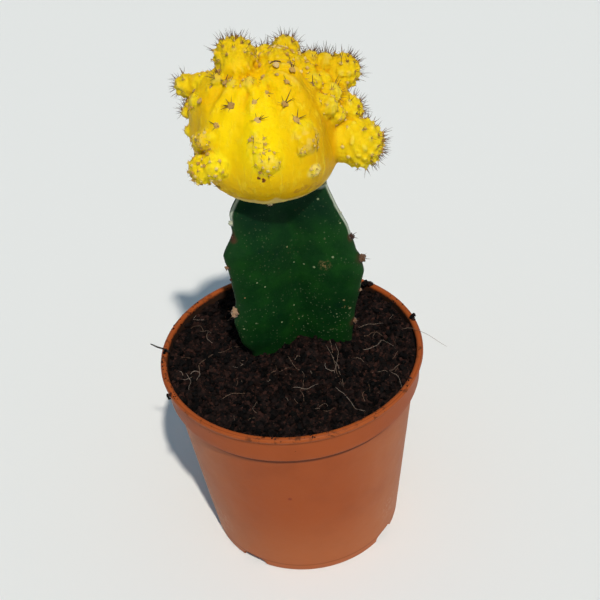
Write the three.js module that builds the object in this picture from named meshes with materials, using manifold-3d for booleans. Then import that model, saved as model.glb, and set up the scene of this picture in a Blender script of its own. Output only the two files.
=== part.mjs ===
// Potted moon cactus: a yellow globe cactus with its offsets, grafted on a green three-winged
// stem that stands in peat in a small moulded pot.
// Millimetres, +Z up. The origin is the middle of the pot's foot, on the surface it stands on.
// An azimuth is measured from -Y, the front, towards +X.

import * as THREE from 'three';
import { mergeVertices } from 'three/addons/utils/BufferGeometryUtils.js';
import Module from 'manifold-3d';

const wasm = await Module();
wasm.setup();

const POT = {
  height: 72.2,
  wall: 1.2,
  beadRadius: 1.05,
  rimRadius: 42.5,
  collarTopRadius: 41.5,
  collarFootRadius: 41.1,
  collarHeight: 10.2,
  stepHeight: 0.8,
  shoulderRadius: 39.4,
  footRadius: 32.15,
  footChamfer: 0.5,
  floorUnderside: 2.4,
  floorThickness: 1.3,
  segments: 60,
};

// Four arched notches in the foot ring, with a drain hole in the floor behind each.
const DRAINS = {
  count: 4,
  firstAzimuth: -38,
  notchWidth: 9,
  notchHeight: 2,
  cutLength: 8,
  holeRadius: 3,
  holeDistance: 21,
  segments: 12,
};

const SOIL = {
  gap: 0.3,
  level: 69.5,
  rings: 8,
  segments: 48,
  moundHeight: 1.8,
  moundCentre: new THREE.Vector2(6, 3),
  moundSpread: 9,
  lumpHeight: 0.4,
};

// The stem: its axis at mid height and at the top, the wings, and how its faces are hollowed.
const STEM = {
  foot: 39.7,
  top: 130,
  axis: new THREE.Vector2(3.5, 12.5),
  topAxis: new THREE.Vector2(1.5, 12),
  leanStart: 112,
  firstWing: -57,
  marginExtra: 2.6,
  marginRound: 0.9,
  hollowAtTop: 0.2,
  hollowBelow: 0.42,
  segmentsPerWing: 14,
  rows: 16,
  rowCrowding: 0.6,
};

// How far each wing's margin reaches from the stem's axis: [height, reach] stations.
const WINGS = [
  // Front left, widest near 111 mm and trimmed from there to the graft.
  [[39.7, 14.5], [62, 17], [69.5, 19.3], [76, 22.6], [84.5, 24.2], [92.5, 22.7], [101, 23.5],
    [111, 24.8], [117.6, 20.2], [123.7, 19.2], [130, 14.2]],
  // Front right, widest near 98 mm, with one long trimmed shoulder above it.
  [[39.7, 14], [62, 17], [69.5, 18.5], [80.7, 20.1], [93, 22.8], [98.5, 24], [103.4, 23.4],
    [106, 21.8], [113.6, 19.8], [122.7, 17.3], [130, 15.6]],
  // Back.
  [[39.7, 13], [69.5, 17.4], [78, 20], [86, 19.2], [95, 21.8], [104, 20.8], [112, 21.4],
    [121, 18.6], [130, 14.8]],
];

// Spine cushions on the margins: wing, height.
const STEM_AREOLES = [
  [0, 124], [0, 116], [0, 107], [0, 90],
  [1, 119.5], [1, 112], [1, 103.4], [1, 91], [1, 78.5],
  [2, 120], [2, 110], [2, 97], [2, 82],
];

const GLOBE = {
  centre: new THREE.Vector3(-1.3, 10, 145.6),
  radius: 21.3,
  halfHeight: 19.5,
  base: 130.3,
  ribs: 8,
  ribTurn: -3,
  groove: 2.1,
  belly: 2,
  bellyTowards: new THREE.Vector3(0.76, -0.2, -0.62),
  bellySpread: 0.16,
  segments: 48,
  rows: 20,
};

// Spine cushions on the globe: rib number, latitude in degrees.
const GLOBE_AREOLES = [
  [0, 68], [0, 51], [0, 38], [0, 0], [0, -15], [0, -42],
  [1, 58.6], [1, 42], [1, 27],
  [2, 67], [2, 45], [2, -24],
  [3, 57], [3, 20], [3, -6],
  [4, 72], [4, 42], [4, 8], [4, -20],
  [5, 70], [5, 44], [5, 4], [5, -22],
  [6, 62.5], [6, 35.5], [6, 9], [6, -14],
  [7, 57], [7, 36], [7, -22],
];

// Offsets growing out of the globe: rib number, latitude in degrees, radius, height of the
// centre above the globe's skin, and how much the offset turns up (or down, below zero).
const FRONT_OFFSETS = [
  [-1.15, -4, 4.2, 1.2, 0], [-1.15, 19, 2.7, 0.6, 0],
  [-0.05, 25, 1.9, 0, 0], [0.1, 9, 3.3, -0.4, 0],
  [0.88, 17, 3, 0.2, 0], [0.92, -10, 1.8, 0, 0],
  [0.6, 76, 1.4, 0.2, 0], [-0.6, 73, 2.1, 0.2, 0],
];
const RIGHT_OFFSETS = [
  [1.7, 28, 3.1, 0.8, 0], [2.1, 28, 3, 2, 0.1], [2.2, 7, 4.9, 3.6, 0.1],
  [1.95, -9, 7, 6.6, 0], [2.75, 38, 2.3, 1.8, 0.1],
];
const LEFT_OFFSETS = [
  [-2.4, 42, 3.9, 1.2, 0], [-2.4, 40, 3.2, 7, -0.6], [-2.25, 17, 1.9, 2.8, 0.1],
];
const CROWN_OFFSETS = [
  [-2.8, 68, 5.3, 0.5, 1.5], [-2.8, 68, 5.6, 4.8, 1.5],
  [3.15, 63, 5.2, 0.6, 0.3], [3.3, 50, 3.9, 5.2, 0.5],
  [2.95, 50, 2.5, 3, 0.2], [2.75, 42, 2.8, 4.8, 0.2],
  [2.62, 34, 2.5, 7, 0.3], [2.55, 21, 5.1, 8.4, 0.3],
];
const BACK_OFFSETS = [
  [3.1, 24, 3.4, 2.2, 0.1], [3.3, -4, 3.9, 3, 0.1], [3.85, 40, 4.3, 2.6, 0.3],
  [4.05, 10, 2.6, 0.8, 0], [4.4, 24, 3.6, 1.6, 0.1], [4.75, 52, 3.4, 1.4, 0.3],
  [4.65, -6, 4.4, 2.2, 0], [5, 26, 2.4, 0.6, 0], [5.3, 8, 3, 1, 0.1],
];

// The form of an offset: its tubercles, and the neck of one that stands off the globe.
const OFFSET = {
  swell: 0.09,
  tuberclesAtNone: 1.9,
  tuberclesPerMillimetre: 0.66,
  rootDepth: 2,
  neckShare: 0.78,
  neckSides: 8,
  neckFrom: 0.55,
};

// Spines, with their shortest and longest length on each plant part.
const SPINE = {
  radius: 0.32,
  sides: 3,
  sunk: 0.7,
  lean: 0.75,
  onGlobe: [2.6, 4],
  onOffset: [1.8, 2.9],
  onStem: [1.4, 2.6],
  perGlobeAreole: 2,
  perStemAreole: 2,
  firstOffsetRow: 1,
  offsetKeep: 0.36,
};

// The felted cushions that the spines stand in.
const AREOLE = {
  globeRadius: 1.15,
  stemRadius: 1.25,
  flatness: 0.55,
  widthSegments: 5,
  heightSegments: 3,
};

const MATERIALS = {
  potPlastic: new THREE.MeshStandardMaterial({ color: 0xb4542c, roughness: 0.5, metalness: 0 }),
  peat: new THREE.MeshStandardMaterial({ color: 0x2b1a14, roughness: 1, metalness: 0 }),
  stemSkin: new THREE.MeshStandardMaterial({ color: 0x123a1d, roughness: 0.45, metalness: 0 }),
  scionSkin: new THREE.MeshStandardMaterial({ color: 0xf2c40f, roughness: 0.55, metalness: 0 }),
};

const UP = new THREE.Vector3(0, 0, 1);
const CYLINDER_AXIS = new THREE.Vector3(0, 1, 0);
const RIGHT_ANGLE = Math.PI / 2;
const radians = THREE.MathUtils.degToRad;

/** A repeatable source of numbers from 0 to 1. */
function seededDraws(seed) {
  let state = seed;
  return () => {
    state = (state * 1664525 + 1013904223) % 4294967296;
    return state / 4294967296;
  };
}

/** The horizontal direction at an azimuth in radians. */
function towards(azimuth) {
  return new THREE.Vector2(Math.sin(azimuth), -Math.cos(azimuth));
}

/** Turns a closed geometry into a solid: shared corners merged, collapsed triangles dropped. */
function solidOf(geometry) {
  const bare = geometry.clone();
  bare.deleteAttribute('normal');
  bare.deleteAttribute('uv');
  const merged = mergeVertices(bare);
  const index = merged.index.array;
  const triangles = [];
  for (let i = 0; i < index.length; i += 3) {
    const [a, b, c] = [index[i], index[i + 1], index[i + 2]];
    if (a !== b && b !== c && c !== a) {
      triangles.push(a, b, c);
    }
  }
  return new wasm.Manifold(new wasm.Mesh({
    numProp: 3,
    vertProperties: new Float32Array(merged.attributes.position.array),
    triVerts: new Uint32Array(triangles),
  }));
}

/** The largest closed skin of a solid: pockets sealed between joined forms are filled. */
function outerSkin(solid) {
  return solid.decompose().reduce((best, skin) => (skin.volume() > best.volume() ? skin : best));
}

/** Turns a solid into a named mesh. */
function meshOf(name, solid, material) {
  const { vertProperties, triVerts } = outerSkin(solid).getMesh();
  const geometry = new THREE.BufferGeometry();
  geometry.setAttribute('position', new THREE.BufferAttribute(new Float32Array(vertProperties), 3));
  geometry.setIndex(new THREE.BufferAttribute(new Uint32Array(triVerts), 1));
  geometry.computeVertexNormals();
  const mesh = new THREE.Mesh(geometry, material);
  mesh.name = name;
  return mesh;
}

/** Moves every vertex of a geometry to where the given function puts it. */
function reshape(geometry, move) {
  const position = geometry.attributes.position;
  const vertex = new THREE.Vector3();
  for (let i = 0; i < position.count; i += 1) {
    vertex.fromBufferAttribute(position, i);
    move(vertex);
    position.setXYZ(i, vertex.x, vertex.y, vertex.z);
  }
  return geometry;
}

/** A lathe turned round the Z axis from points of radius and height. */
function turned(points, segments) {
  return new THREE.LatheGeometry(points, segments).rotateX(RIGHT_ANGLE);
}

/** The pot's inner wall, from the rim down to the middle of the floor. */
function innerWall() {
  const collarFoot = POT.height - POT.collarHeight;
  const floorTop = POT.floorUnderside + POT.floorThickness;
  const lip = POT.rimRadius - 2 * POT.beadRadius;
  return [
    new THREE.Vector2(lip, POT.height - POT.beadRadius),
    new THREE.Vector2(POT.collarFootRadius - POT.wall, collarFoot + POT.wall / 2),
    new THREE.Vector2(POT.shoulderRadius - POT.wall, collarFoot - POT.stepHeight),
    new THREE.Vector2(POT.footRadius - POT.wall, floorTop),
    new THREE.Vector2(0, floorTop),
  ];
}

/** The pot: foot ring, tapering body, stepped collar and rolled rim, with notches and drains. */
function makePot() {
  const collarFoot = POT.height - POT.collarHeight;
  const beadCentre = new THREE.Vector2(POT.rimRadius - POT.beadRadius, POT.height - POT.beadRadius);
  const profile = new THREE.Path();
  profile.moveTo(0, POT.floorUnderside);
  profile.lineTo(POT.footRadius - 2 * POT.wall, POT.floorUnderside);
  profile.lineTo(POT.footRadius - POT.wall - POT.footChamfer, 0);
  profile.lineTo(POT.footRadius - POT.footChamfer, 0);
  profile.lineTo(POT.footRadius, POT.footChamfer);
  profile.lineTo(POT.shoulderRadius, collarFoot - POT.stepHeight);
  profile.lineTo(POT.collarFootRadius, collarFoot);
  profile.lineTo(POT.collarTopRadius, POT.height - 2 * POT.beadRadius);
  profile.absarc(beadCentre.x, beadCentre.y, POT.beadRadius, radians(-90), Math.PI);
  for (const point of innerWall().slice(1)) {
    profile.lineTo(point.x, point.y);
  }
  let pot = solidOf(turned(profile.getPoints(3), POT.segments));
  for (let i = 0; i < DRAINS.count; i += 1) {
    const azimuth = radians(DRAINS.firstAzimuth + (360 / DRAINS.count) * i);
    const outward = towards(azimuth);
    const notch = new THREE.CylinderGeometry(1, 1, DRAINS.cutLength, DRAINS.segments);
    notch.scale(DRAINS.notchWidth / 2, 1, DRAINS.notchHeight);
    notch.rotateZ(azimuth);
    notch.translate(outward.x * POT.footRadius, outward.y * POT.footRadius, 0);
    const hole = new THREE.CylinderGeometry(1, 1, DRAINS.cutLength, DRAINS.segments);
    hole.rotateX(RIGHT_ANGLE);
    hole.scale(DRAINS.holeRadius, DRAINS.holeRadius, 1);
    hole.translate(
      outward.x * DRAINS.holeDistance,
      outward.y * DRAINS.holeDistance,
      POT.floorUnderside,
    );
    pot = pot.subtract(solidOf(notch)).subtract(solidOf(hole));
  }
  return meshOf('pot', pot, MATERIALS.potPlastic);
}

/** Height of the peat's crumbly top: a low mound before the stem, and uneven lumps. */
function soilHeight(x, y) {
  const fromMound = Math.hypot(x - SOIL.moundCentre.x, y - SOIL.moundCentre.y) / SOIL.moundSpread;
  const mound = SOIL.moundHeight * Math.exp(-fromMound * fromMound);
  const broad = Math.sin(0.31 * x + 0.17 * y + 0.6) + Math.sin(0.22 * x - 0.36 * y + 2.1);
  const fine = Math.sin(0.83 * x + 0.41 * y) * Math.sin(0.77 * y - 0.35 * x + 1.3);
  return SOIL.level + mound + SOIL.lumpHeight * (0.5 * broad + 1.3 * fine);
}

/** The peat: it fills the pot up to just below the rim, with a plain hole for the stem. */
function makeSoil() {
  const wall = innerWall().reverse();
  const sides = wall.map((point) => new THREE.Vector2(Math.max(point.x - SOIL.gap, 0), point.y + SOIL.gap));
  const lip = sides.pop();
  const points = [...sides];
  for (let ring = 0; ring <= SOIL.rings; ring += 1) {
    points.push(new THREE.Vector2((lip.x - SOIL.gap) * (1 - ring / SOIL.rings), SOIL.level));
  }
  const body = reshape(turned(points, SOIL.segments), (vertex) => {
    if (vertex.z > SOIL.level - SOIL.gap) {
      vertex.z = soilHeight(vertex.x, vertex.y);
    }
  });
  return meshOf('soil', solidOf(body).subtract(solidOf(stemBody(SOIL.gap))), MATERIALS.peat);
}

/** A value between the stations of a [height, value] list, eased from one to the next. */
function betweenStations(stations, height) {
  const last = stations.length - 1;
  if (height <= stations[0][0]) {
    return stations[0][1];
  }
  if (height >= stations[last][0]) {
    return stations[last][1];
  }
  const next = stations.findIndex((station) => station[0] > height);
  const [lowHeight, lowValue] = stations[next - 1];
  const [highHeight, highValue] = stations[next];
  const share = THREE.MathUtils.smoothstep(height, lowHeight, highHeight);
  const even = (height - lowHeight) / (highHeight - lowHeight);
  return THREE.MathUtils.lerp(lowValue, highValue, (share + even) / 2);
}

/** The middle of the stem at a height: upright, leaning back a little under the graft. */
function stemAxis(height) {
  const share = THREE.MathUtils.smoothstep(height, STEM.leanStart, STEM.top);
  return STEM.axis.clone().lerp(STEM.topAxis, share);
}

/**
 * A point on the stem's skin. Each face is the straight chord between two margins, hollowed
 * towards its middle, and the chord's ends are blunted where they would pass the margin's reach.
 */
function stemPoint(azimuth, height) {
  const sector = radians(120);
  const turn = (azimuth - radians(STEM.firstWing)) / sector;
  const from = Math.floor(turn);
  const share = turn - from;
  const reachFrom = betweenStations(WINGS[((from % 3) + 3) % 3], height);
  const reachTo = betweenStations(WINGS[(((from + 1) % 3) + 3) % 3], height);
  const reach = THREE.MathUtils.lerp(reachFrom, reachTo, THREE.MathUtils.smoothstep(share, 0, 1));
  const off = (share - 0.5) * sector;
  const hollow = THREE.MathUtils.lerp(
    STEM.hollowBelow,
    STEM.hollowAtTop,
    THREE.MathUtils.smoothstep(height, STEM.leanStart, STEM.top),
  );
  const chord = ((reach + STEM.marginExtra) / 2 / Math.cos(off)) * (1 - hollow * Math.cos(1.5 * off) ** 2);
  const blunt = -Math.log(Math.exp(-chord / STEM.marginRound) + Math.exp(-reach / STEM.marginRound));
  const radius = blunt * STEM.marginRound;
  return stemAxis(height).addScaledVector(towards(azimuth), radius);
}

/** The stem's closed body, with its skin moved outwards by a spread. */
function stemBody(spread) {
  const segments = 3 * STEM.segmentsPerWing;
  const geometry = new THREE.CylinderGeometry(1, 1, 1, segments, STEM.rows).rotateX(RIGHT_ANGLE);
  const half = STEM.segmentsPerWing / 2;
  const nudge = 0.002;
  return reshape(geometry, (vertex) => {
    // Rows lie closer together towards the top, where the margins are notched and trimmed.
    const share = (vertex.z + 0.5) ** STEM.rowCrowding;
    const height = THREE.MathUtils.lerp(STEM.foot - spread, STEM.top + spread, share);
    const onAxis = Math.hypot(vertex.x, vertex.y) < 0.5;
    const step = Math.round((Math.atan2(vertex.x, -vertex.y) / (2 * Math.PI)) * segments);
    const wing = Math.round(step / STEM.segmentsPerWing);
    const side = (step - wing * STEM.segmentsPerWing) / half;
    // Corners crowd towards each margin, where the section turns most.
    const azimuth = radians(STEM.firstWing + 120 * wing + 60 * Math.sign(side) * Math.abs(side) ** 1.5);
    const place = onAxis ? stemAxis(height) : stemPoint(azimuth, height);
    if (!onAxis && spread > 0) {
      const along = stemPoint(azimuth + nudge, height).sub(stemPoint(azimuth - nudge, height)).normalize();
      place.x += along.y * spread;
      place.y -= along.x * spread;
    }
    vertex.set(place.x, place.y, height);
  });
}

/** A three-sided spine whose root is sunk below the given point. */
function spine(root, direction, length) {
  const geometry = new THREE.ConeGeometry(SPINE.radius, length + SPINE.sunk, SPINE.sides);
  geometry.translate(0, (length - SPINE.sunk) / 2, 0);
  geometry.applyQuaternion(new THREE.Quaternion().setFromUnitVectors(CYLINDER_AXIS, direction));
  geometry.translate(root.x, root.y, root.z);
  return solidOf(geometry);
}

/** Spines that fan out from one cushion round its outward direction. */
function spineFan(root, outward, count, lengths, draw) {
  const side = new THREE.Vector3().crossVectors(outward, UP).normalize();
  const above = new THREE.Vector3().crossVectors(side, outward);
  const first = draw() * 2 * Math.PI;
  return Array.from({ length: count }, (_, i) => {
    const turn = first + ((i + 0.4 * draw()) / count) * 2 * Math.PI;
    const lean = SPINE.lean * (0.5 + draw());
    const direction = outward.clone();
    direction.addScaledVector(side, lean * Math.cos(turn));
    direction.addScaledVector(above, lean * Math.sin(turn));
    return spine(root, direction.normalize(), THREE.MathUtils.lerp(lengths[0], lengths[1], draw()));
  });
}

/** A low round cushion on the skin, facing outwards. */
function cushion(root, outward, radius) {
  const geometry = new THREE.SphereGeometry(radius, AREOLE.widthSegments, AREOLE.heightSegments);
  geometry.scale(1, AREOLE.flatness, 1);
  geometry.applyQuaternion(new THREE.Quaternion().setFromUnitVectors(CYLINDER_AXIS, outward));
  geometry.translate(root.x, root.y, root.z);
  return solidOf(geometry);
}

/** The green stem with the cushions and short spines along its margins. */
function makeRootstock() {
  const draw = seededDraws(41);
  let stem = solidOf(stemBody(0));
  for (const [wing, height] of STEM_AREOLES) {
    const azimuth = radians(STEM.firstWing + 120 * wing);
    const place = stemPoint(azimuth, height);
    const flat = towards(azimuth);
    const outward = new THREE.Vector3(flat.x, flat.y, 0.25).normalize();
    const root = new THREE.Vector3(place.x, place.y, height);
    stem = stem.add(cushion(root, outward, AREOLE.stemRadius));
    for (const needle of spineFan(root, outward, SPINE.perStemAreole, SPINE.onStem, draw)) {
      stem = stem.add(needle);
    }
  }
  return meshOf('rootstock', stem, MATERIALS.stemSkin);
}

/** The azimuth in radians of a rib, whole numbers being the crests. */
function ribAzimuth(rib) {
  return radians(GLOBE.ribTurn + (360 / GLOBE.ribs) * rib);
}

/** A point on the globe's even outer form, and the direction that faces out there. */
function globePlace(rib, latitude) {
  const flat = towards(ribAzimuth(rib)).multiplyScalar(Math.cos(radians(latitude)));
  const ray = new THREE.Vector3(flat.x, flat.y, Math.sin(radians(latitude)));
  const wide = GLOBE.radius ** 2;
  const high = GLOBE.halfHeight ** 2;
  const distance = 1 / Math.sqrt((ray.x ** 2 + ray.y ** 2) / wide + ray.z ** 2 / high);
  const point = ray.clone().multiplyScalar(distance);
  const outward = new THREE.Vector3(point.x / wide, point.y / wide, point.z / high).normalize();
  return { point: point.add(GLOBE.centre), outward };
}

/** The ribbed globe, fuller low on its right side, and cut flat where it sits on the stem. */
function globeBody() {
  const geometry = new THREE.SphereGeometry(1, GLOBE.segments, GLOBE.rows).rotateX(RIGHT_ANGLE);
  geometry.rotateZ(radians(GLOBE.ribTurn));
  const grooveShare = GLOBE.groove / GLOBE.radius;
  const bellyShare = GLOBE.belly / GLOBE.radius;
  reshape(geometry, (vertex) => {
    const azimuth = Math.atan2(vertex.x, -vertex.y) - radians(GLOBE.ribTurn);
    const between = Math.abs(Math.sin((GLOBE.ribs / 2) * azimuth)) ** 3;
    // The grooves run out towards the crown and on the plain lower part.
    const fade = Math.sqrt(Math.max(1 - vertex.z ** 2, 0)) * THREE.MathUtils.smoothstep(vertex.z, -0.7, 0.2);
    const belly = Math.exp((vertex.dot(GLOBE.bellyTowards) - 1) / GLOBE.bellySpread);
    const scale = 1 - grooveShare * between * fade + bellyShare * belly;
    vertex.x = GLOBE.centre.x + vertex.x * GLOBE.radius * scale;
    vertex.y = GLOBE.centre.y + vertex.y * GLOBE.radius * scale;
    vertex.z = GLOBE.centre.z + vertex.z * GLOBE.halfHeight * scale;
  });
  const cut = new THREE.BoxGeometry(4 * GLOBE.radius, 4 * GLOBE.radius, 4 * GLOBE.radius);
  cut.translate(GLOBE.centre.x, GLOBE.centre.y, GLOBE.base - 2 * GLOBE.radius);
  return solidOf(geometry).subtract(solidOf(cut));
}

/**
 * One offset: a ball with staggered rows of tubercles, its radius swollen by the product of a
 * wave round it and a wave down it, on a short neck where it stands off the globe.
 */
function offsetBody([rib, latitude, radius, rise, upturn], draw) {
  const place = globePlace(rib, latitude);
  const direction = place.outward.clone().addScaledVector(UP, upturn).normalize();
  const centre = place.point.clone().addScaledVector(direction, rise);
  const turn = new THREE.Quaternion().setFromUnitVectors(CYLINDER_AXIS, direction);
  const around = Math.round(OFFSET.tuberclesAtNone + OFFSET.tuberclesPerMillimetre * radius);
  const rows = around + 1;
  const swelling = (azimuth, polar) => (
    radius * (1 + OFFSET.swell * Math.sin(polar) * Math.cos(around * azimuth) * Math.cos(rows * polar))
  );
  const ball = new THREE.SphereGeometry(1, 2 * around, rows);
  reshape(ball, (vertex) => {
    const polar = Math.acos(THREE.MathUtils.clamp(vertex.y, -1, 1));
    const azimuth = Math.atan2(vertex.z, vertex.x);
    vertex.multiplyScalar(swelling(azimuth, polar));
  });
  ball.applyQuaternion(turn).translate(centre.x, centre.y, centre.z);
  let body = solidOf(ball);

  if (rise > OFFSET.neckFrom * radius) {
    const length = rise + OFFSET.rootDepth;
    const width = OFFSET.neckShare * radius;
    const neck = new THREE.CylinderGeometry(width, width, length, OFFSET.neckSides);
    neck.translate(0, -length / 2, 0);
    neck.applyQuaternion(turn).translate(centre.x, centre.y, centre.z);
    body = body.add(solidOf(neck));
  }

  // One spine on the top, and one on part of the tubercles of the outer half.
  const needles = [[0, 0]];
  for (let row = SPINE.firstOffsetRow; row <= rows / 2; row += 1) {
    for (let step = row % 2; step < 2 * around; step += 2) {
      if (draw() < SPINE.offsetKeep) {
        needles.push([(step * Math.PI) / around, (row * Math.PI) / rows]);
      }
    }
  }
  for (const [azimuth, polar] of needles) {
    const outward = new THREE.Vector3(
      Math.sin(polar) * Math.cos(azimuth),
      Math.cos(polar),
      Math.sin(polar) * Math.sin(azimuth),
    ).applyQuaternion(turn);
    const root = centre.clone().addScaledVector(outward, swelling(azimuth, polar));
    for (const needle of spineFan(root, outward, 1, SPINE.onOffset, draw)) {
      body = body.add(needle);
    }
  }
  return body;
}

/** The yellow globe with its offsets, cushions and spines, grown as one piece. */
function makeScion() {
  const draw = seededDraws(8);
  let scion = globeBody();
  const offsets = [
    ...FRONT_OFFSETS, ...RIGHT_OFFSETS, ...LEFT_OFFSETS, ...CROWN_OFFSETS, ...BACK_OFFSETS,
  ];
  for (const offset of offsets) {
    scion = scion.add(offsetBody(offset, draw));
  }
  for (const [rib, latitude] of GLOBE_AREOLES) {
    const { point, outward } = globePlace(rib, latitude);
    scion = scion.add(cushion(point, outward, AREOLE.globeRadius));
    for (const needle of spineFan(point, outward, SPINE.perGlobeAreole, SPINE.onGlobe, draw)) {
      scion = scion.add(needle);
    }
  }
  return meshOf('scion', scion, MATERIALS.scionSkin);
}

const cactus = new THREE.Group();
cactus.add(makePot(), makeSoil(), makeRootstock(), makeScion());

export default cactus;
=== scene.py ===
"""The potted moon cactus, dressed for its picture.

A yellow globe cactus with its offsets is grafted on a dark green three-winged stem, which stands
in peat in a moulded pot. Sizes are in millimetres and angles in degrees, and they become metres
only where a mesh is made. The front of the object faces -Y, and an azimuth is measured from
there towards +X.
"""

from __future__ import annotations

import functools
import itertools
import logging
from dataclasses import dataclass
from enum import Enum
from typing import NamedTuple, Sequence, Union

import bpy
import numpy as np
from mathutils import Matrix, Vector

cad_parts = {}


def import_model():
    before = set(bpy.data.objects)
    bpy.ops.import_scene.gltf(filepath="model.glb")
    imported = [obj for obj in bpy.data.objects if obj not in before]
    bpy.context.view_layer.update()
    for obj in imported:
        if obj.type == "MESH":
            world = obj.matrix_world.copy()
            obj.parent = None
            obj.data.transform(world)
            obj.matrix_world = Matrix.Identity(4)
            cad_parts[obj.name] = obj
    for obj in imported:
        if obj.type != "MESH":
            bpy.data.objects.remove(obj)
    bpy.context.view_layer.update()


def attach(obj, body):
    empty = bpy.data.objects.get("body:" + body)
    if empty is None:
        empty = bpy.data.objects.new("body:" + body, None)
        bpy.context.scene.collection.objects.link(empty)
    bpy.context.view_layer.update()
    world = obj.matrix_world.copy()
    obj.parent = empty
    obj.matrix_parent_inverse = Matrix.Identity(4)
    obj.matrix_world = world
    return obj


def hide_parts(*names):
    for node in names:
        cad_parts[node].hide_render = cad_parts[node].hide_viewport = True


LOG = logging.getLogger("moon_cactus")
MM = 0.001
Array = np.ndarray
Skin = tuple[Array, list[Array]]
Two = tuple[float, float]
Three = tuple[float, float, float]
Four = tuple[float, float, float, float]
Colour = Three
Stations = Sequence[Two]
Layer = tuple[float, float, int]
Stop = tuple[float, Colour]
Random = np.random.Generator
Object = bpy.types.Object
Material = bpy.types.Material
UP = np.array([0.0, 0.0, 1.0])
MIX_FIRST, MIX_SECOND, MIX_RESULT = 6, 7, 2


class Part(Enum):
    """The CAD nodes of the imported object."""

    POT = "pot"
    SOIL = "soil"
    ROOTSTOCK = "rootstock"
    SCION = "scion"


class Slot(Enum):
    """The record's material slots."""

    POT_PLASTIC = "pot_plastic"
    PEAT = "peat"
    STEM_SKIN = "stem_skin"
    SCION_SKIN = "scion_skin"
    SPINES = "spines"
    ROOT_FIBRES = "root_fibres"


class Tag(Enum):
    """The numbers that a mesh carries at its points for its material to read."""

    TONE = "tone"
    ALONG = "along"
    CREASE_SHADE = "crease_shade"
    LEMON = "lemon"
    CORK = "cork"
    PALE = "pale"
    MARGIN = "margin"
    TRIM = "trim"


# Plain arithmetic on arrays.


def eased(low: float, high: float, value: Array) -> Array:
    """The smooth step from 0 at low to 1 at high."""
    share = np.clip((np.asarray(value, dtype=float) - low) / (high - low), 0.0, 1.0)
    return share * share * (3.0 - 2.0 * share)


def unit(vectors: Array) -> Array:
    """The vectors, each made one long."""
    return vectors / np.maximum(np.linalg.norm(vectors, axis=-1, keepdims=True), 1e-9)


def towards(azimuth: Array) -> Array:
    """The level unit vectors at azimuths in degrees."""
    angle = np.radians(azimuth)
    return np.stack([np.sin(angle), -np.cos(angle), np.zeros_like(angle)], axis=-1)


def axes_across(outward: Array) -> tuple[Array, Array]:
    """Two unit vectors square to each given direction: one level, one upwards."""
    side = unit(np.cross(outward, [0.0, 0.0, 1.0]) + [1e-6, 0.0, 0.0])
    return side, np.cross(side, outward)


def between_stations(stations: Stations, height: Array) -> Array:
    """Values between [height, value] stations: half the straight line, half the smooth step.

    Args:
        stations: the stations, from low to high.
        height: the heights.

    Returns:
        The values.
    """
    heights, values = np.array(stations, dtype=float).T
    upper = np.clip(np.searchsorted(heights, height, side="right"), 1, len(heights) - 1)
    low, high = heights[upper - 1], heights[upper]
    even = np.clip((height - low) / (high - low), 0.0, 1.0)
    share = (even + even * even * (3.0 - 2.0 * even)) / 2.0
    return values[upper - 1] + (values[upper] - values[upper - 1]) * share


def lattice_noise(points: Array, cell: float, seed: int = 0) -> Array:
    """Smooth noise from -1 to 1.

    Every corner of a cubic lattice holds a fixed random value, and a point takes the eased
    mean of the eight corners round it.

    Args:
        points: places of shape (..., 3).
        cell: the lattice's spacing.
        seed: picks another set of random values.

    Returns:
        One number for each place.
    """
    scaled = points / cell
    corner = np.floor(scaled).astype(np.int64)
    share = scaled - corner
    share = share * share * (3.0 - 2.0 * share)
    total = np.zeros(points.shape[:-1])
    for step in itertools.product((0, 1), repeat=3):
        place = corner + np.array(step)
        mixed = place @ np.array([374761393, 668265263, 1440662683]) + seed * 1274126177
        key = mixed & 0xFFFFFFFF
        key = ((key ^ (key >> 13)) * 1274126177) & 0xFFFFFFFF
        value = ((key ^ (key >> 16)) & 0xFFFF) / 32767.5 - 1.0
        weight = np.prod(np.where(np.array(step) == 1, share, 1.0 - share), axis=-1)
        total += value * weight
    return total


def relief(points: Array, layers: Sequence[Layer], folded: bool = False) -> Array:
    """The sum of layers of lattice noise, or of its size without its sign where folded.

    Args:
        points: places of shape (..., 3).
        layers: the strength, the cell and the seed of each layer.
        folded: whether each layer is turned up where it falls below 0.

    Returns:
        One number for each place.
    """
    total = np.zeros(points.shape[:-1])
    for strength, cell, seed in layers:
        noise = lattice_noise(points, cell, seed)
        total += strength * (np.abs(noise) if folded else noise)
    return total


def distance(points: Array, middle: Array) -> Array:
    """How far places lie from a middle."""
    return np.linalg.norm(points - middle, axis=-1)


def bell(points: Array, middle: Array, width: float) -> Array:
    """A bell curve of the distance of places from a middle."""
    return np.exp(-np.sum((points - middle) ** 2, axis=-1) / width**2)


def across_axis(azimuth: Array, polar: Array) -> Array:
    """Unit vectors at polar angles from +Y, turned by azimuths from +X towards +Z."""
    flat = np.sin(polar)
    return np.stack([flat * np.cos(azimuth), np.cos(polar), flat * np.sin(azimuth)], axis=-1)


# Meshes from arrays.


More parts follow.
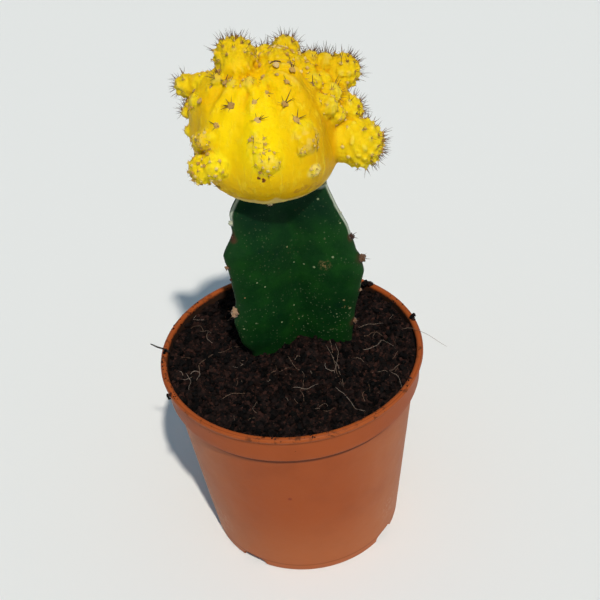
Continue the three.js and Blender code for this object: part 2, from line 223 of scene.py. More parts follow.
def closed_skins(rings: Array, starts: Array, ends: Array) -> Skin:
    """Many closed skins at once, each a stack of rings with a point at either end.

    Args:
        rings: points of shape (skins, rings, points in a ring, 3).
        starts: the point that closes each skin before its first ring.
        ends: the point that closes each skin after its last ring.

    Returns:
        The points, and the faces as one array of quads and one of triangles. A face looks
        along (direction round the ring) x (direction from ring to ring).
    """
    count, rows, columns, _ = rings.shape
    size = rows * columns + 2
    stacked = [rings.reshape(count, -1, 3), starts[:, None], ends[:, None]]
    points = np.concatenate(stacked, axis=1).reshape(-1, 3)
    row, column = np.mgrid[: rows - 1, :columns]
    beside = (column + 1) % columns
    quad = [row * columns + column, row * columns + beside]
    quad += [(row + 1) * columns + beside, (row + 1) * columns + column]
    quads = np.stack(quad, axis=-1).reshape(-1, 4)
    ring = np.arange(columns)
    after = (ring + 1) % columns
    last = (rows - 1) * columns
    low = np.stack([after, ring, np.full(columns, size - 2)], axis=-1)
    high = np.stack([last + ring, last + after, np.full(columns, size - 1)], axis=-1)
    first = (np.arange(count) * size)[:, None, None]
    triangles = np.concatenate([low, high])
    return points, [(quads + first).reshape(-1, 4), (triangles + first).reshape(-1, 3)]


def join_skins(skins: Sequence[Skin]) -> Skin:
    """Puts the points and faces of several skins together.

    Args:
        skins: the points and faces of each.

    Returns:
        The points, and the faces with their numbers moved on.
    """
    firsts = np.cumsum([0] + [len(points) for points, _ in skins])
    points = np.concatenate([points for points, _ in skins])
    faces = [group + first for (_, groups), first in zip(skins, firsts) for group in groups]
    return points, faces


def make_piece(
    name: str, points: Array, faces: Sequence[Array], sharp: float | None = None
) -> Object:
    """Makes a smooth-shaded mesh object at the origin.

    Args:
        name: the object's name.
        points: places in millimetres, of shape (n, 3).
        faces: arrays of corner numbers, each of one corner count.
        sharp: the angle from which an edge between faces stays sharp, if any does.

    Returns:
        The object, linked to the scene.
    """
    mesh = bpy.data.meshes.new(name)
    corners = np.concatenate([group.ravel() for group in faces]).astype(np.int32)
    sizes = np.concatenate([np.full(len(group), group.shape[1]) for group in faces])
    starts = np.concatenate([[0], np.cumsum(sizes)[:-1]]).astype(np.int32)
    mesh.vertices.add(len(points))
    mesh.vertices.foreach_set("co", (points * MM).astype(np.float32).ravel())
    mesh.loops.add(len(corners))
    mesh.loops.foreach_set("vertex_index", corners)
    mesh.polygons.add(len(sizes))
    mesh.polygons.foreach_set("loop_start", starts)
    mesh.update(calc_edges=True)
    mesh.validate()
    mesh.shade_smooth()
    if sharp is not None:
        mesh.set_sharp_from_angle(angle=np.radians(sharp))
    piece = bpy.data.objects.new(name, mesh)
    bpy.context.scene.collection.objects.link(piece)
    return piece


def apply_modifiers(piece: Object) -> None:
    """Puts the result of a piece's modifiers into its mesh.

    Args:
        piece: the object.
    """
    depsgraph = bpy.context.evaluated_depsgraph_get()
    mesh = bpy.data.meshes.new_from_object(piece.evaluated_get(depsgraph))
    piece.modifiers.clear()
    piece.data = mesh


def values_of(items: bpy.types.bpy_prop_collection, key: str, width: int, kind: type) -> Array:
    """The numbers that a mesh's points, normals or edges hold under a key, a row for each."""
    items.foreach_get(key, flat := np.empty(width * len(items), dtype=kind))
    return flat.reshape(-1, width)


def points_of(mesh: bpy.types.Mesh) -> Array:
    """A mesh's points in millimetres."""
    return values_of(mesh.vertices, "co", 3, np.float32).astype(float) / MM


def normals_of(mesh: bpy.types.Mesh) -> Array:
    """The directions that a mesh's points face."""
    return values_of(mesh.vertex_normals, "vector", 3, np.float32).astype(float)


def edges_of(mesh: bpy.types.Mesh) -> Array:
    """The pairs of points that a mesh's edges join."""
    return values_of(mesh.edges, "vertices", 2, np.int32)


def neighbour_mean(values: Array, edges: Array) -> Array:
    """The mean of each point's neighbours along the edges.

    Args:
        values: one number or vector for each point.
        edges: the pairs of points.

    Returns:
        The means, in the shape of the values.
    """
    ends = np.concatenate([edges, edges[:, ::-1]])
    count = np.bincount(ends[:, 0], minlength=len(values))
    sums = [
        np.bincount(ends[:, 0], weights=column[ends[:, 1]], minlength=len(values))
        for column in values.reshape(len(values), -1).T
    ]
    return (np.array(sums) / np.maximum(count, 1)).T.reshape(values.shape)


def tag_points(piece: Object, tag: Tag, values: Array) -> None:
    """Stores one number for each point of a piece."""
    layer = piece.data.attributes.new(tag.value, "FLOAT", "POINT")
    layer.data.foreach_set("value", np.asarray(values, dtype=np.float32).ravel())


def hand_over(piece: Object, material: Material, slot: Slot, *parts: Part) -> None:
    """Gives a piece its material and hides the CAD nodes that it stands for.

    Args:
        piece: the object.
        material: its material.
        slot: its slot; not used.
        parts: the CAD nodes.
    """
    piece.data.materials.clear()
    piece.data.materials.append(material)
    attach(piece, "root")
    if parts:
        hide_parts(*[part.value for part in parts])
    faces = len(piece.data.loops) - 2 * len(piece.data.polygons)
    LOG.info("%s: %d triangles", piece.name, faces)


def strand_piece(
    name: str, paths: Array, radii: Array, tone: Array, sides: int, material: Material, slot: Slot
) -> None:
    """Makes one piece of many closed tubes along paths, and hands it over.

    A ring of points stands square to the path at every station but the last, and the last
    station is the tip.

    Args:
        name: the piece's name.
        paths: stations of shape (strands, stations, 3).
        radii: the tube's radius at the stations, of shape (strands, stations).
        tone: one number for each strand.
        sides: how many points a ring has.
        material: the material.
        slot: its slot.
    """
    tangent = unit(np.gradient(paths, axis=1))
    whole = unit(paths[:, -1] - paths[:, 0] + 1e-6)
    least = np.eye(3)[np.argmin(np.abs(whole), axis=1)]
    side = unit(np.cross(tangent, least[:, None, :]))
    above = np.cross(tangent, side)
    angle = np.linspace(0.0, 2.0 * np.pi, sides, endpoint=False)[:, None]
    ring = side[:, :, None] * np.cos(angle) + above[:, :, None] * np.sin(angle)
    rings = paths[:, :, None] + radii[:, :, None, None] * ring
    piece = make_piece(name, *closed_skins(rings[:, :-1], paths[:, 0], paths[:, -1]))
    count, stations = paths.shape[:2]
    share = np.repeat(np.linspace(0.0, 1.0, stations)[:-1], sides)
    tag_points(piece, Tag.ALONG, np.tile(np.concatenate([share, [0.0, 1.0]]), count))
    tag_points(piece, Tag.TONE, np.repeat(tone, share.size + 2))
    hand_over(piece, material, slot)


def cushion_piece(
    name: str, pads: Skin, tones: Sequence[float], material: Material, slot: Slot
) -> None:
    """Makes one piece of many cushions and hands it over.

    Args:
        name: the piece's name.
        pads: the points and faces of the cushions.
        tones: the tone of each cushion.
        material: their material.
        slot: its slot.
    """
    points, faces = pads
    piece = make_piece(name, points, faces)
    tag_points(piece, Tag.TONE, np.repeat(tones, len(points) // len(tones)))
    hand_over(piece, material, slot)


def join_paths(made: Sequence[tuple[Array, Array]]) -> tuple[Array, ...]:
    """The paths and the radii of several sets of strands, each put together."""
    return tuple(np.concatenate(part) for part in zip(*made))


class Fan(NamedTuple):
    """How the spines of a cushion stand: how many, how long, how far they lean and curve."""

    count: int
    shortest: float
    longest: float
    lean: Two
    curl: float
    radius: float


def spine_paths(
    roots: Array, outward: Array, fan: Fan, draw: Random, stations: int = 5
) -> tuple[Array, Array]:
    """The curved paths of spines that fan out from cushions.

    A spine leaves along the outward direction, turned by its lean to one of the sides that
    are shared out round the cushion, and bends by its curl times the square of the way along.

    Args:
        roots: the middle of each cushion.
        outward: the direction each cushion faces.
        fan: how the spines stand.
        draw: the random numbers.
        stations: how many stations a path has.

    Returns:
        The paths, and the radii at their stations.
    """
    shape = (len(roots), fan.count)
    side, above = axes_across(outward)
    turn = draw.uniform(0, 2 * np.pi, (len(roots), 1)) + 2 * np.pi / fan.count * (
        np.arange(fan.count) + draw.uniform(-0.3, 0.3, shape)
    )
    away = side[:, None] * np.cos(turn)[..., None] + above[:, None] * np.sin(turn)[..., None]
    lean = draw.uniform(*fan.lean, shape)[..., None]
    heading = unit(outward[:, None] + lean * away)
    length = draw.uniform(fan.shortest, fan.longest, shape)[..., None]
    bend = fan.curl * draw.uniform(0.2, 1.0, shape)[..., None] * (outward[:, None] - lean * away)
    share = np.linspace(0.0, 1.0, stations)[:, None]
    start = roots[:, None] + 0.25 * fan.radius * away - 0.3 * outward[:, None]
    paths = start[..., None, :] + length[..., None] * (
        heading[..., None, :] * share + bend[..., None, :] * share**2
    )
    radii = fan.radius * (1.0 - 0.85 * share[:, 0] ** 1.3) * np.ones((*shape, 1))
    return paths.reshape(-1, stations, 3), radii.reshape(-1, stations)


def cushions(
    centres: Array,
    outward: Array,
    radii: Array,
    flatness: float,
    rows: int,
    columns: int,
    rough: float = 0.22,
) -> Skin:
    """Low rough cushions that face outwards, their lower halves sunk in the skin.

    Each is a ball squashed along its outward direction, with its radius changed by noise.

    Args:
        centres: the middles, of shape (n, 3).
        outward: the directions that they face.
        radii: the radius of each.
        flatness: the height as a share of the radius.
        rows: how many rings a cushion has.
        columns: how many points a ring has.
        rough: how far the radius changes, as a share of it.

    Returns:
        The points and faces.
    """
    side, above = axes_across(outward)
    polar = np.pi * (np.arange(rows) + 0.8) / (rows + 0.6)
    angle = np.linspace(0.0, 2.0 * np.pi, columns, endpoint=False)
    flat = np.sin(polar)[:, None, None]
    turned = np.cos(angle)[:, None], np.sin(angle)[:, None]
    ring = side[:, None, None] * turned[0] - above[:, None, None] * turned[1]
    local = ring * flat + outward[:, None, None] * (flatness * np.cos(polar))[:, None, None]
    uneven = 1.0 + rough * lattice_noise(centres[:, None, None] * 3.1 + local * 2.3, 1.0)
    size = radii[:, None, None, None]
    rings = centres[:, None, None] + local * size * uneven[..., None]
    top = centres + outward * (flatness * radii)[:, None]
    bottom = centres - outward * (flatness * radii)[:, None]
    return closed_skins(rings, top, bottom)


# Shader arithmetic.


class Signal:
    """A number, colour or vector out of a shader node, for use in Python arithmetic."""

    def __init__(self, graph: Graph, socket: bpy.types.NodeSocket) -> None:
        """Wraps a node's output socket."""
        self.graph = graph
        self.socket = socket

    def __add__(self, other: Input) -> Signal:
        """The sum."""
        return self.graph.math("ADD", self, other)

    def __sub__(self, other: Input) -> Signal:
        """The difference."""
        return self.graph.math("SUBTRACT", self, other)

    def __rsub__(self, other: Input) -> Signal:
        """The difference, taken the other way round."""
        return self.graph.math("SUBTRACT", other, self)

    def __mul__(self, other: Input) -> Signal:
        """The product."""
        return self.graph.math("MULTIPLY", self, other)

    __radd__ = __add__
    __rmul__ = __mul__


Input = Union[Signal, float, int, Sequence[float]]


class Graph:
    """The node tree of one material. Patterns are laid out in object millimetres."""

    def __init__(self, name: str) -> None:
        """Makes an empty material and the object coordinates in millimetres.

        Args:
            name: the material's name.
        """
        self.material = bpy.data.materials.new(name)
        self.material.use_nodes = True
        self.tree = self.material.node_tree
        self.tree.nodes.clear()
        place = self.node("TexCoord", output="Object")
        self.place = self.node("VectorMath", {"operation": "SCALE"}, {0: place, "Scale": 1 / MM})

    def node(
        self,
        kind: str,
        settings: dict[str, object] | None = None,
        inputs: dict[str | int, Input] | None = None,
        output: str | int = 0,
    ) -> Signal:
        """Adds a node.

        Args:
            kind: the node's type, without ShaderNode.
            settings: its properties, set before its sockets; stops are a ramp's.
            inputs: values or signals for its sockets, by name or number.
            output: the socket that is handed back.

        Returns:
            The signal of that output.
        """
        made = self.tree.nodes.new("ShaderNode" + kind)
        for key, value in (settings or {}).items():
            if key == "stops":
                self.set_stops(made.color_ramp.elements, value)
            else:
                setattr(made, key, value)
        for key, value in (inputs or {}).items():
            self.feed(made.inputs[key], value)
        return Signal(self, made.outputs[output])

    @staticmethod
    def set_stops(elements: bpy.types.ColorRampElements, stops: Sequence[Stop]) -> None:
        """Gives a ramp its stops.

        Args:
            elements: the ramp's own stops, two at first.
            stops: the numbers and their colours, from the lowest.
        """
        while len(elements) < len(stops):
            elements.new(0.5)
        for element, (position, colour) in zip(elements, stops):
            element.position = position
            element.color = (*colour, 1.0)

    def feed(self, socket: bpy.types.NodeSocket, value: Input) -> None:
        """Links a signal to a socket, or sets the socket's value.

        Args:
            socket: the input socket.
            value: the signal or the value.
        """
        if isinstance(value, Signal):
            self.tree.links.new(value.socket, socket)
        elif socket.type == "RGBA" and len(value) == 3:
            socket.default_value = (*value, 1.0)
        else:
            socket.default_value = value

    def math(self, operation: str, *values: Input) -> Signal:
        """A Math node on numbers."""
        return self.node("Math", {"operation": operation}, dict(enumerate(values)))

    def mix(self, first: Input, second: Input, share: Input) -> Signal:
        """A colour from the first at a share of 0 to the second at 1."""
        inputs = {0: share, MIX_FIRST: first, MIX_SECOND: second}
        return self.node("Mix", {"data_type": "RGBA", "clamp_factor": True}, inputs, MIX_RESULT)

    def ramp(self, value: Input, *stops: Stop) -> Signal:
        """Colours that change along a number, through stops from the lowest up."""
        return self.node("ValToRGB", {"stops": stops}, {0: value})

    def between(self, value: Input, low: float, high: float) -> Signal:
        """The smooth step from 0 at low to 1 at high, or down where low is above high.

        Args:
            value: the number.
            low: where the step has one end.
            high: where it has the other.

        Returns:
            A number from 0 to 1.
        """
        settings = {"interpolation_type": "SMOOTHSTEP"}
        start, end = (0.0, 1.0) if low < high else (1.0, 0.0)
        inputs = {"Value": value, "From Min": min(low, high), "From Max": max(low, high)}
        return self.node("MapRange", settings, inputs | {"To Min": start, "To Max": end})

    def tag(self, tag: Tag) -> Signal:
        """A number that the mesh carries at its points."""
        return self.node("Attribute", {"attribute_name": tag.value}, output="Fac")

    @functools.cached_property
    def up(self) -> Signal:
        """The height above the pot's foot in millimetres."""
        return self.node("SeparateXYZ", None, {0: self.place}, "Z")

    @functools.cached_property
    def across(self) -> Signal:
        """How far places lie to the right in millimetres."""
        return self.node("SeparateXYZ", None, {0: self.place}, "X")

    @functools.cached_property
    def radial(self) -> Signal:
        """The distance from the pot's axis in millimetres."""
        flat = self.node("VectorMath", {"operation": "MULTIPLY"}, {0: self.place, 1: (1.0, 1.0, 0.0)})
        return self.node("VectorMath", {"operation": "LENGTH"}, {0: flat}, "Value")

    def highest(self, *signals: Signal) -> Signal:
        """The highest of some signals."""
        return functools.reduce(lambda first, second: self.math("MAXIMUM", first, second), signals)

    def away_from(self, value: Signal, middle: float, low: float, high: float) -> Signal:
        """The smooth step, as in between, of how far a value is from a middle."""
        return self.between(self.math("ABSOLUTE", value - middle), low, high)

    def layered(self, base: Input, layers: Sequence[tuple[Colour, Signal]]) -> Signal:
        """Colours laid over a base one after another.

        Args:
            base: the lowest colour.
            layers: each colour that goes over it, with its share.

        Returns:
            The colour that shows.
        """
        for colour, share in layers:
            base = self.mix(base, colour, share)
        return base

    def noise(
        self, size: float, detail: float = 2.0, rough: float = 0.5, shift: float = 0.0
    ) -> Signal:
        """Soft noise from 0 to 1 with features of a size in millimetres, moved by a shift."""
        moved = self.node("VectorMath", {"operation": "ADD"}, {0: self.place, 1: (shift,) * 3})
        return self.texture("TexNoise", moved, size, Detail=detail, Roughness=rough)

    def texture(
        self, kind: str, place: Signal, size: float, output: str | int = 0, **more: Input
    ) -> Signal:
        """A texture node on places, with features of a size in millimetres."""
        return self.node(kind, None, {"Vector": place, "Scale": 1.0 / size} | more, output)

    def specks(self, size: float, radius: float, share: float) -> Signal:
        """Round specks: 1 within a radius of the middles of a share of the cells of a pattern.

        Args:
            size: the size of the cells in millimetres.
            radius: the radius of a speck.
            share: the share of the cells that have one.

        Returns:
            A number from 0 to 1.
        """
        outputs = ("Color", "Distance")
        colour, gap = (self.texture("TexVoronoi", self.place, size, name) for name in outputs)
        chosen = self.node("SeparateColor", None, {0: colour})
        spot = self.between(gap * size, radius, 0.4 * radius)
        return spot * self.math("LESS_THAN", chosen, share)

    def near(self, place: Sequence[float], radius: float) -> Signal:
        """1 at a place, falling to 0 at a radius from it."""
        gap = self.node("VectorMath", {"operation": "DISTANCE"}, {0: self.place, 1: place}, "Value")
        return self.between(gap, radius, 0.25 * radius)

    def bump(self, height: Signal, depth: float, under: Signal | None = None) -> Signal:
        """The normal of a relief of a depth in millimetres, over the normal of another."""
        inputs = {"Height": height, "Distance": depth * MM, "Strength": 1.0}
        return self.node("Bump", None, inputs | ({"Normal": under} if under else {}))

    def finish(
        self, colour: Input, roughness: Input, normal: Signal | None, **fixed: Input
    ) -> Material:
        """Closes the material with one principled shader.

        Args:
            colour: the base colour.
            roughness: the roughness.
            normal: the relief, if there is any.
            fixed: values of other sockets, their names with _ for a space.

        Returns:
            The material.
        """
        inputs = {"Base Color": colour, "Roughness": roughness}
        if normal is not None:
            inputs["Normal"] = normal
        inputs |= {name.replace("_", " "): value for name, value in fixed.items()}
        shader = self.node("BsdfPrincipled", None, inputs)
        output = self.tree.nodes.new("ShaderNodeOutputMaterial")
        self.tree.links.new(shader.socket, output.inputs["Surface"])
        return self.material


# Finishes.


@dataclass(frozen=True)
class PotPlastic:
    """Moulded terracotta plastic, semi-matt, with peat smears at the rim and pale scuffs, painted shade
    under the collar and bead, and painted reflected light on its sides and towards its foot.
    """

    colour: Colour = (0.335, 0.068, 0.013)
    # Painted highlight on the bead's top, now close to the body colour.
    painted_bead_highlight: Colour = (0.33, 0.070, 0.014)
    # Painted reflected light: a paler colour laid on the body's sides and towards its foot.
    painted_reflected_light: Colour = (0.46, 0.150, 0.052)
    deep: Colour = (0.17, 0.030, 0.007)
    # The colour of peat smears, also used for the painted shade on the inner wall.
    peat_smear_and_wall_shade: Colour = (0.028, 0.012, 0.007)
    scuff: Colour = (0.60, 0.40, 0.28)
    gate: Colour = (0.20, 0.022, 0.008)
    gate_mark: Three = (-5.3, -36.6, 40.8)
    low_line: float = 3.1
    collar_foot: float = 60.5
    bead_foot: float = 70.05
    bead_line: float = 42.0
    scuffs: tuple[Four, ...] = (
        (-30.0, -16.5, 15.0, 9.0),
        (28.0, -19.3, 14.0, 8.0),
    )

    def material(self) -> Material:
        """Builds the material.

        Returns:
            The material.
        """
        graph = Graph("pot_plastic")
        # Painted reflected light: the body below the collar is lighter at its left and right sides.
        sides = graph.away_from(graph.across, -2.0, 12.0, 34.0) * graph.between(graph.up, 62.0, 56.0)
        scratches = graph.between(graph.noise(1.6, 4.0, 0.7), 0.45, 0.7)
        dirt_and_wall_shade = self.dirt_and_wall_shade(graph)
        colour = graph.layered(self.colour, [
            (self.deep, graph.between(graph.noise(14.0, 3.0), 0.48, 0.85) * 0.3),
            # Painted reflected light on the sides, then painted bounce light growing towards the foot.
            (self.painted_reflected_light, sides * (0.25 + 0.6 * graph.noise(9.0, 4.0, 0.6, 2.0))),
            (self.painted_reflected_light, graph.between(graph.up, 36.0, 4.0) * 0.45),
            # Painted highlight on the bead's top.
            (self.painted_bead_highlight, graph.between(graph.up, 69.9, 71.2)),
            (self.deep, graph.away_from(graph.up, self.low_line, 0.45, 0.1) * 0.55),
            # Painted shade: dark lines under the collar, under the bead and along the bead's top.
            (self.deep, self.painted_recess_shade(graph)),
            *((self.scuff, graph.near(spot[:3], spot[3]) * scratches * 0.3) for spot in self.scuffs),
            (self.gate, graph.near(self.gate_mark, 1.0) * 0.9),
            # Peat smears and specks, and painted shade with grime on the inner wall.
            (self.peat_smear_and_wall_shade, dirt_and_wall_shade),
        ])
        roughness = 0.46 + 0.12 * graph.noise(5.0, 4.0, 0.6, 3.0) + 0.4 * dirt_and_wall_shade
        grain = graph.bump(graph.noise(0.5, 3.0, 0.6), 0.02)
        waves = graph.bump(graph.noise(6.0, 2.0, 0.5, 5.0), 0.12, grain)
        gloss = {"Specular_IOR_Level": 0.22, "Specular_Tint": (1.0, 0.8, 0.6)}
        return graph.finish(colour, roughness, waves, **gloss)

    def painted_recess_shade(self, graph: Graph) -> Signal:
        """The shaded lines under the collar, under the bead, and along the bead's top.

        Args:
            graph: the material's graph.

        Returns:
            How dark each place is.
        """
        under_collar = graph.away_from(graph.up, self.collar_foot, 1.6, 0.9)
        under_bead = graph.away_from(graph.up, self.bead_foot, 0.4, 0.15) * 0.9
        on_bead = graph.away_from(graph.radial, self.bead_line, 0.16, 0.05) * 0.6
        outside = graph.between(graph.radial, 38.6, 38.9)
        above = graph.between(graph.up, 71.3, 71.7)
        return graph.highest(graph.highest(under_collar, under_bead) * outside, on_bead * above)

    @staticmethod
    def dirt_and_wall_shade(graph: Graph) -> Signal:
        """Peat smears on the rim and specks below it, and the inner wall darkened by peat grime and painted
        shade.

        Args:
            graph: the material's graph.

        Returns:
            How dirty each place is.
        """
        up = graph.up
        smears = graph.between(graph.noise(2.6, 5.0, 0.7, 7.0), 0.52, 0.6)
        patches = graph.between(graph.noise(11.0, 2.0), 0.44, 0.56)
        smears = smears * graph.between(up, 69.0, 71.8) * patches
        inside = graph.between(graph.radial, 40.9, 40.5) * graph.between(up, 62.0, 64.0)
        # The inner wall above the peat: peat grime and painted shade under the rim.
        grime_and_wall_shade = inside * graph.between(up + 1.6 * graph.noise(2.0, 3.0), 72.6, 71.6)
        specks = graph.specks(2.3, 0.3, 0.22) * graph.between(up, 60.0, 71.0) * 0.8
        return graph.highest(smears * 0.7, grime_and_wall_shade, specks)


@dataclass(frozen=True)
class PeatCrumb:
    """Damp dark peat: near-black with reddish brown crumbs and a few tan flecks."""

    wet: Colour = (0.0010, 0.0006, 0.0005)
    brown: Colour = (0.0100, 0.0046, 0.0036)
    rust: Colour = (0.044, 0.0175, 0.0125)
    fleck: Colour = (0.15, 0.095, 0.065)

    def material(self, name: str, tone: bool) -> Material:
        """Builds the material, for the bed or for loose crumbs that carry their own tone.

        Args:
            name: its name.
            tone: whether the mesh carries tones.

        Returns:
            The material.
        """
        graph = Graph(name)
        cloudy = graph.noise(1.7, 5.0, 0.78)
        value = graph.tag(Tag.TONE) * 0.7 + cloudy * 0.4 if tone else cloudy
        colour = graph.ramp(value, (0.38, self.wet), (0.54, self.brown), (0.68, self.rust))
        colour = graph.mix(colour, self.fleck, graph.specks(1.3, 0.22, 0.11) * 0.6)
        rough = graph.bump(graph.noise(0.45, 4.0, 0.7), 0.3)
        return graph.finish(colour, 0.7, rough, Specular_IOR_Level=0.12)


@dataclass(frozen=True)
class RootFibre:
    """Dry root fibres, from a dark twig at the low end of their tones to cream at the high."""

    dark: Colour = (0.022, 0.013, 0.009)
    tan: Colour = (0.16, 0.095, 0.06)
    cream: Colour = (0.33, 0.27, 0.22)

    def material(self) -> Material:
        """Builds the material.

        Returns:
            The material.
        """
        graph = Graph("root_fibres")
        patchy = graph.tag(Tag.TONE) + 0.5 * graph.noise(1.3, 2.0) - 0.25
        colour = graph.ramp(patchy, (0.0, self.dark), (0.35, self.tan), (1.0, self.cream))
        return graph.finish(colour, 0.6, None, Specular_IOR_Level=0.2)


@dataclass(frozen=True)
class StemSkin:
    """Waxy deep green skin, greyer on the trimmed edges, with pale specks and dry scars, darker at the top
    in painted shade under the globe.
    """

    green: Colour = (0.0030, 0.028, 0.0050)
    bright: Colour = (0.0062, 0.046, 0.0055)
    # A dark bluish green, for random patches and for the painted shade under the globe.
    blue_shade: Colour = (0.0012, 0.012, 0.0075)
    speck: Colour = (0.20, 0.24, 0.12)
    tan_speck: Colour = (0.26, 0.17, 0.07)
    cut: Colour = (0.42, 0.46, 0.36)
    cork: Colour = (0.060, 0.026, 0.015)
    margin: Colour = (0.013, 0.045, 0.012)
    scar: Three = (12.9, 1.6, 102.4)
    drifts: tuple[Four, ...] = (
        (4.7, 5.4, 78.1, 6.5), (15.5, 2.3, 82.0, 8.0), (-12.0, -1.2, 84.0, 4.0),
        (13.5, 2.0, 112.0, 4.5),
    )
    dots: tuple[Four, ...] = (
        (9.6, 2.6, 101.3, 0.55), (15.6, 1.5, 105.2, 0.5), (6.6, 4.0, 101.9, 0.4),
        (3.6, 4.9, 102.4, 0.35), (1.9, 4.2, 108.9, 0.4), (2.3, 4.5, 85.8, 0.4),
        (-2.1, 1.9, 81.4, 0.45), (-14.2, -1.5, 82.9, 0.45), (-12.7, -0.9, 94.8, 0.35),
        (-8.4, -0.4, 99.8, 0.4), (-6.1, 0.2, 97.4, 0.4), (12.5, 3.3, 125.8, 0.5),
        (18.6, 2.7, 116.7, 0.35), (19.9, 1.9, 84.2, 0.6), (18.1, 1.4, 88.1, 0.45),
    )

    def material(self) -> Material:
        """Builds the material.

        Returns:
            The material.
        """
        graph = Graph("stem_skin")
        cork = graph.tag(Tag.CORK)
        cloudy = graph.noise(9.0, 4.0, 0.6)
        dots = self.all_specks(graph)
        tanned = graph.between(graph.noise(5.0, 1.0), 0.55, 0.65)
        dry = graph.near(self.scar, 2.6) * graph.between(graph.noise(1.0, 4.0, 0.75, 12.0), 0.46, 0.62)
        colour = graph.layered(self.green, [
            (self.bright, graph.between(cloudy, 0.42, 0.7)),
            (self.blue_shade, graph.between(cloudy, 0.42, 0.25) * 0.6),
            (self.margin, graph.between(graph.noise(2.2, 5.0, 0.75, 5.0), 0.5, 0.75) * 0.5),
            # Painted shade: the top of the stem under the globe is darker and bluer.
            (self.blue_shade, graph.between(graph.up, 108.0, 126.0) * 0.7),
            (self.margin, graph.tag(Tag.MARGIN) * 0.5),
            (graph.mix(self.speck, self.tan_speck, tanned), dots),
            (self.tan_speck, dry * 0.8),
            (self.cork, cork),
            (self.cut, graph.tag(Tag.TRIM)),
        ])
        roughness = 0.40 + 0.22 * graph.noise(4.0, 4.0, 0.6, 3.0) + 0.3 * cork
        bumps = graph.bump(dots, 0.12, graph.bump(graph.noise(1.1, 4.0, 0.6), 0.12))
        gloss = {"Specular_IOR_Level": 0.12, "Specular_Tint": (0.5, 1.0, 0.55)}
        return graph.finish(colour, roughness, bumps, **gloss)

    def all_specks(self, graph: Graph) -> Signal:
        """Pale specks: single dots, and fine ones denser low down and in drifts.

        Args:
            graph: the material's graph.

        Returns:
            How pale each place is.
        """
        drift = graph.between(graph.noise(10.0, 3.0, 0.6, 11.0), 0.42, 0.58) * 0.4
        drift = graph.highest(drift, *(graph.near(spot[:3], spot[3]) for spot in self.drifts))
        low = graph.between(graph.up, 112.0, 80.0)
        fine = graph.specks(0.9, 0.24, 0.6) * drift * (0.35 + 0.6 * low)
        small = graph.specks(1.5, 0.36, 0.5) * drift * (0.4 + 0.6 * low)
        medium = graph.specks(2.6, 0.42, 0.35) * (0.2 + 0.6 * drift) * (0.35 + 0.6 * low)
        dots = (graph.between(graph.near(spot[:3], spot[3]), 0.15, 0.4) for spot in self.dots)
        return graph.highest(fine, small, medium, *dots)


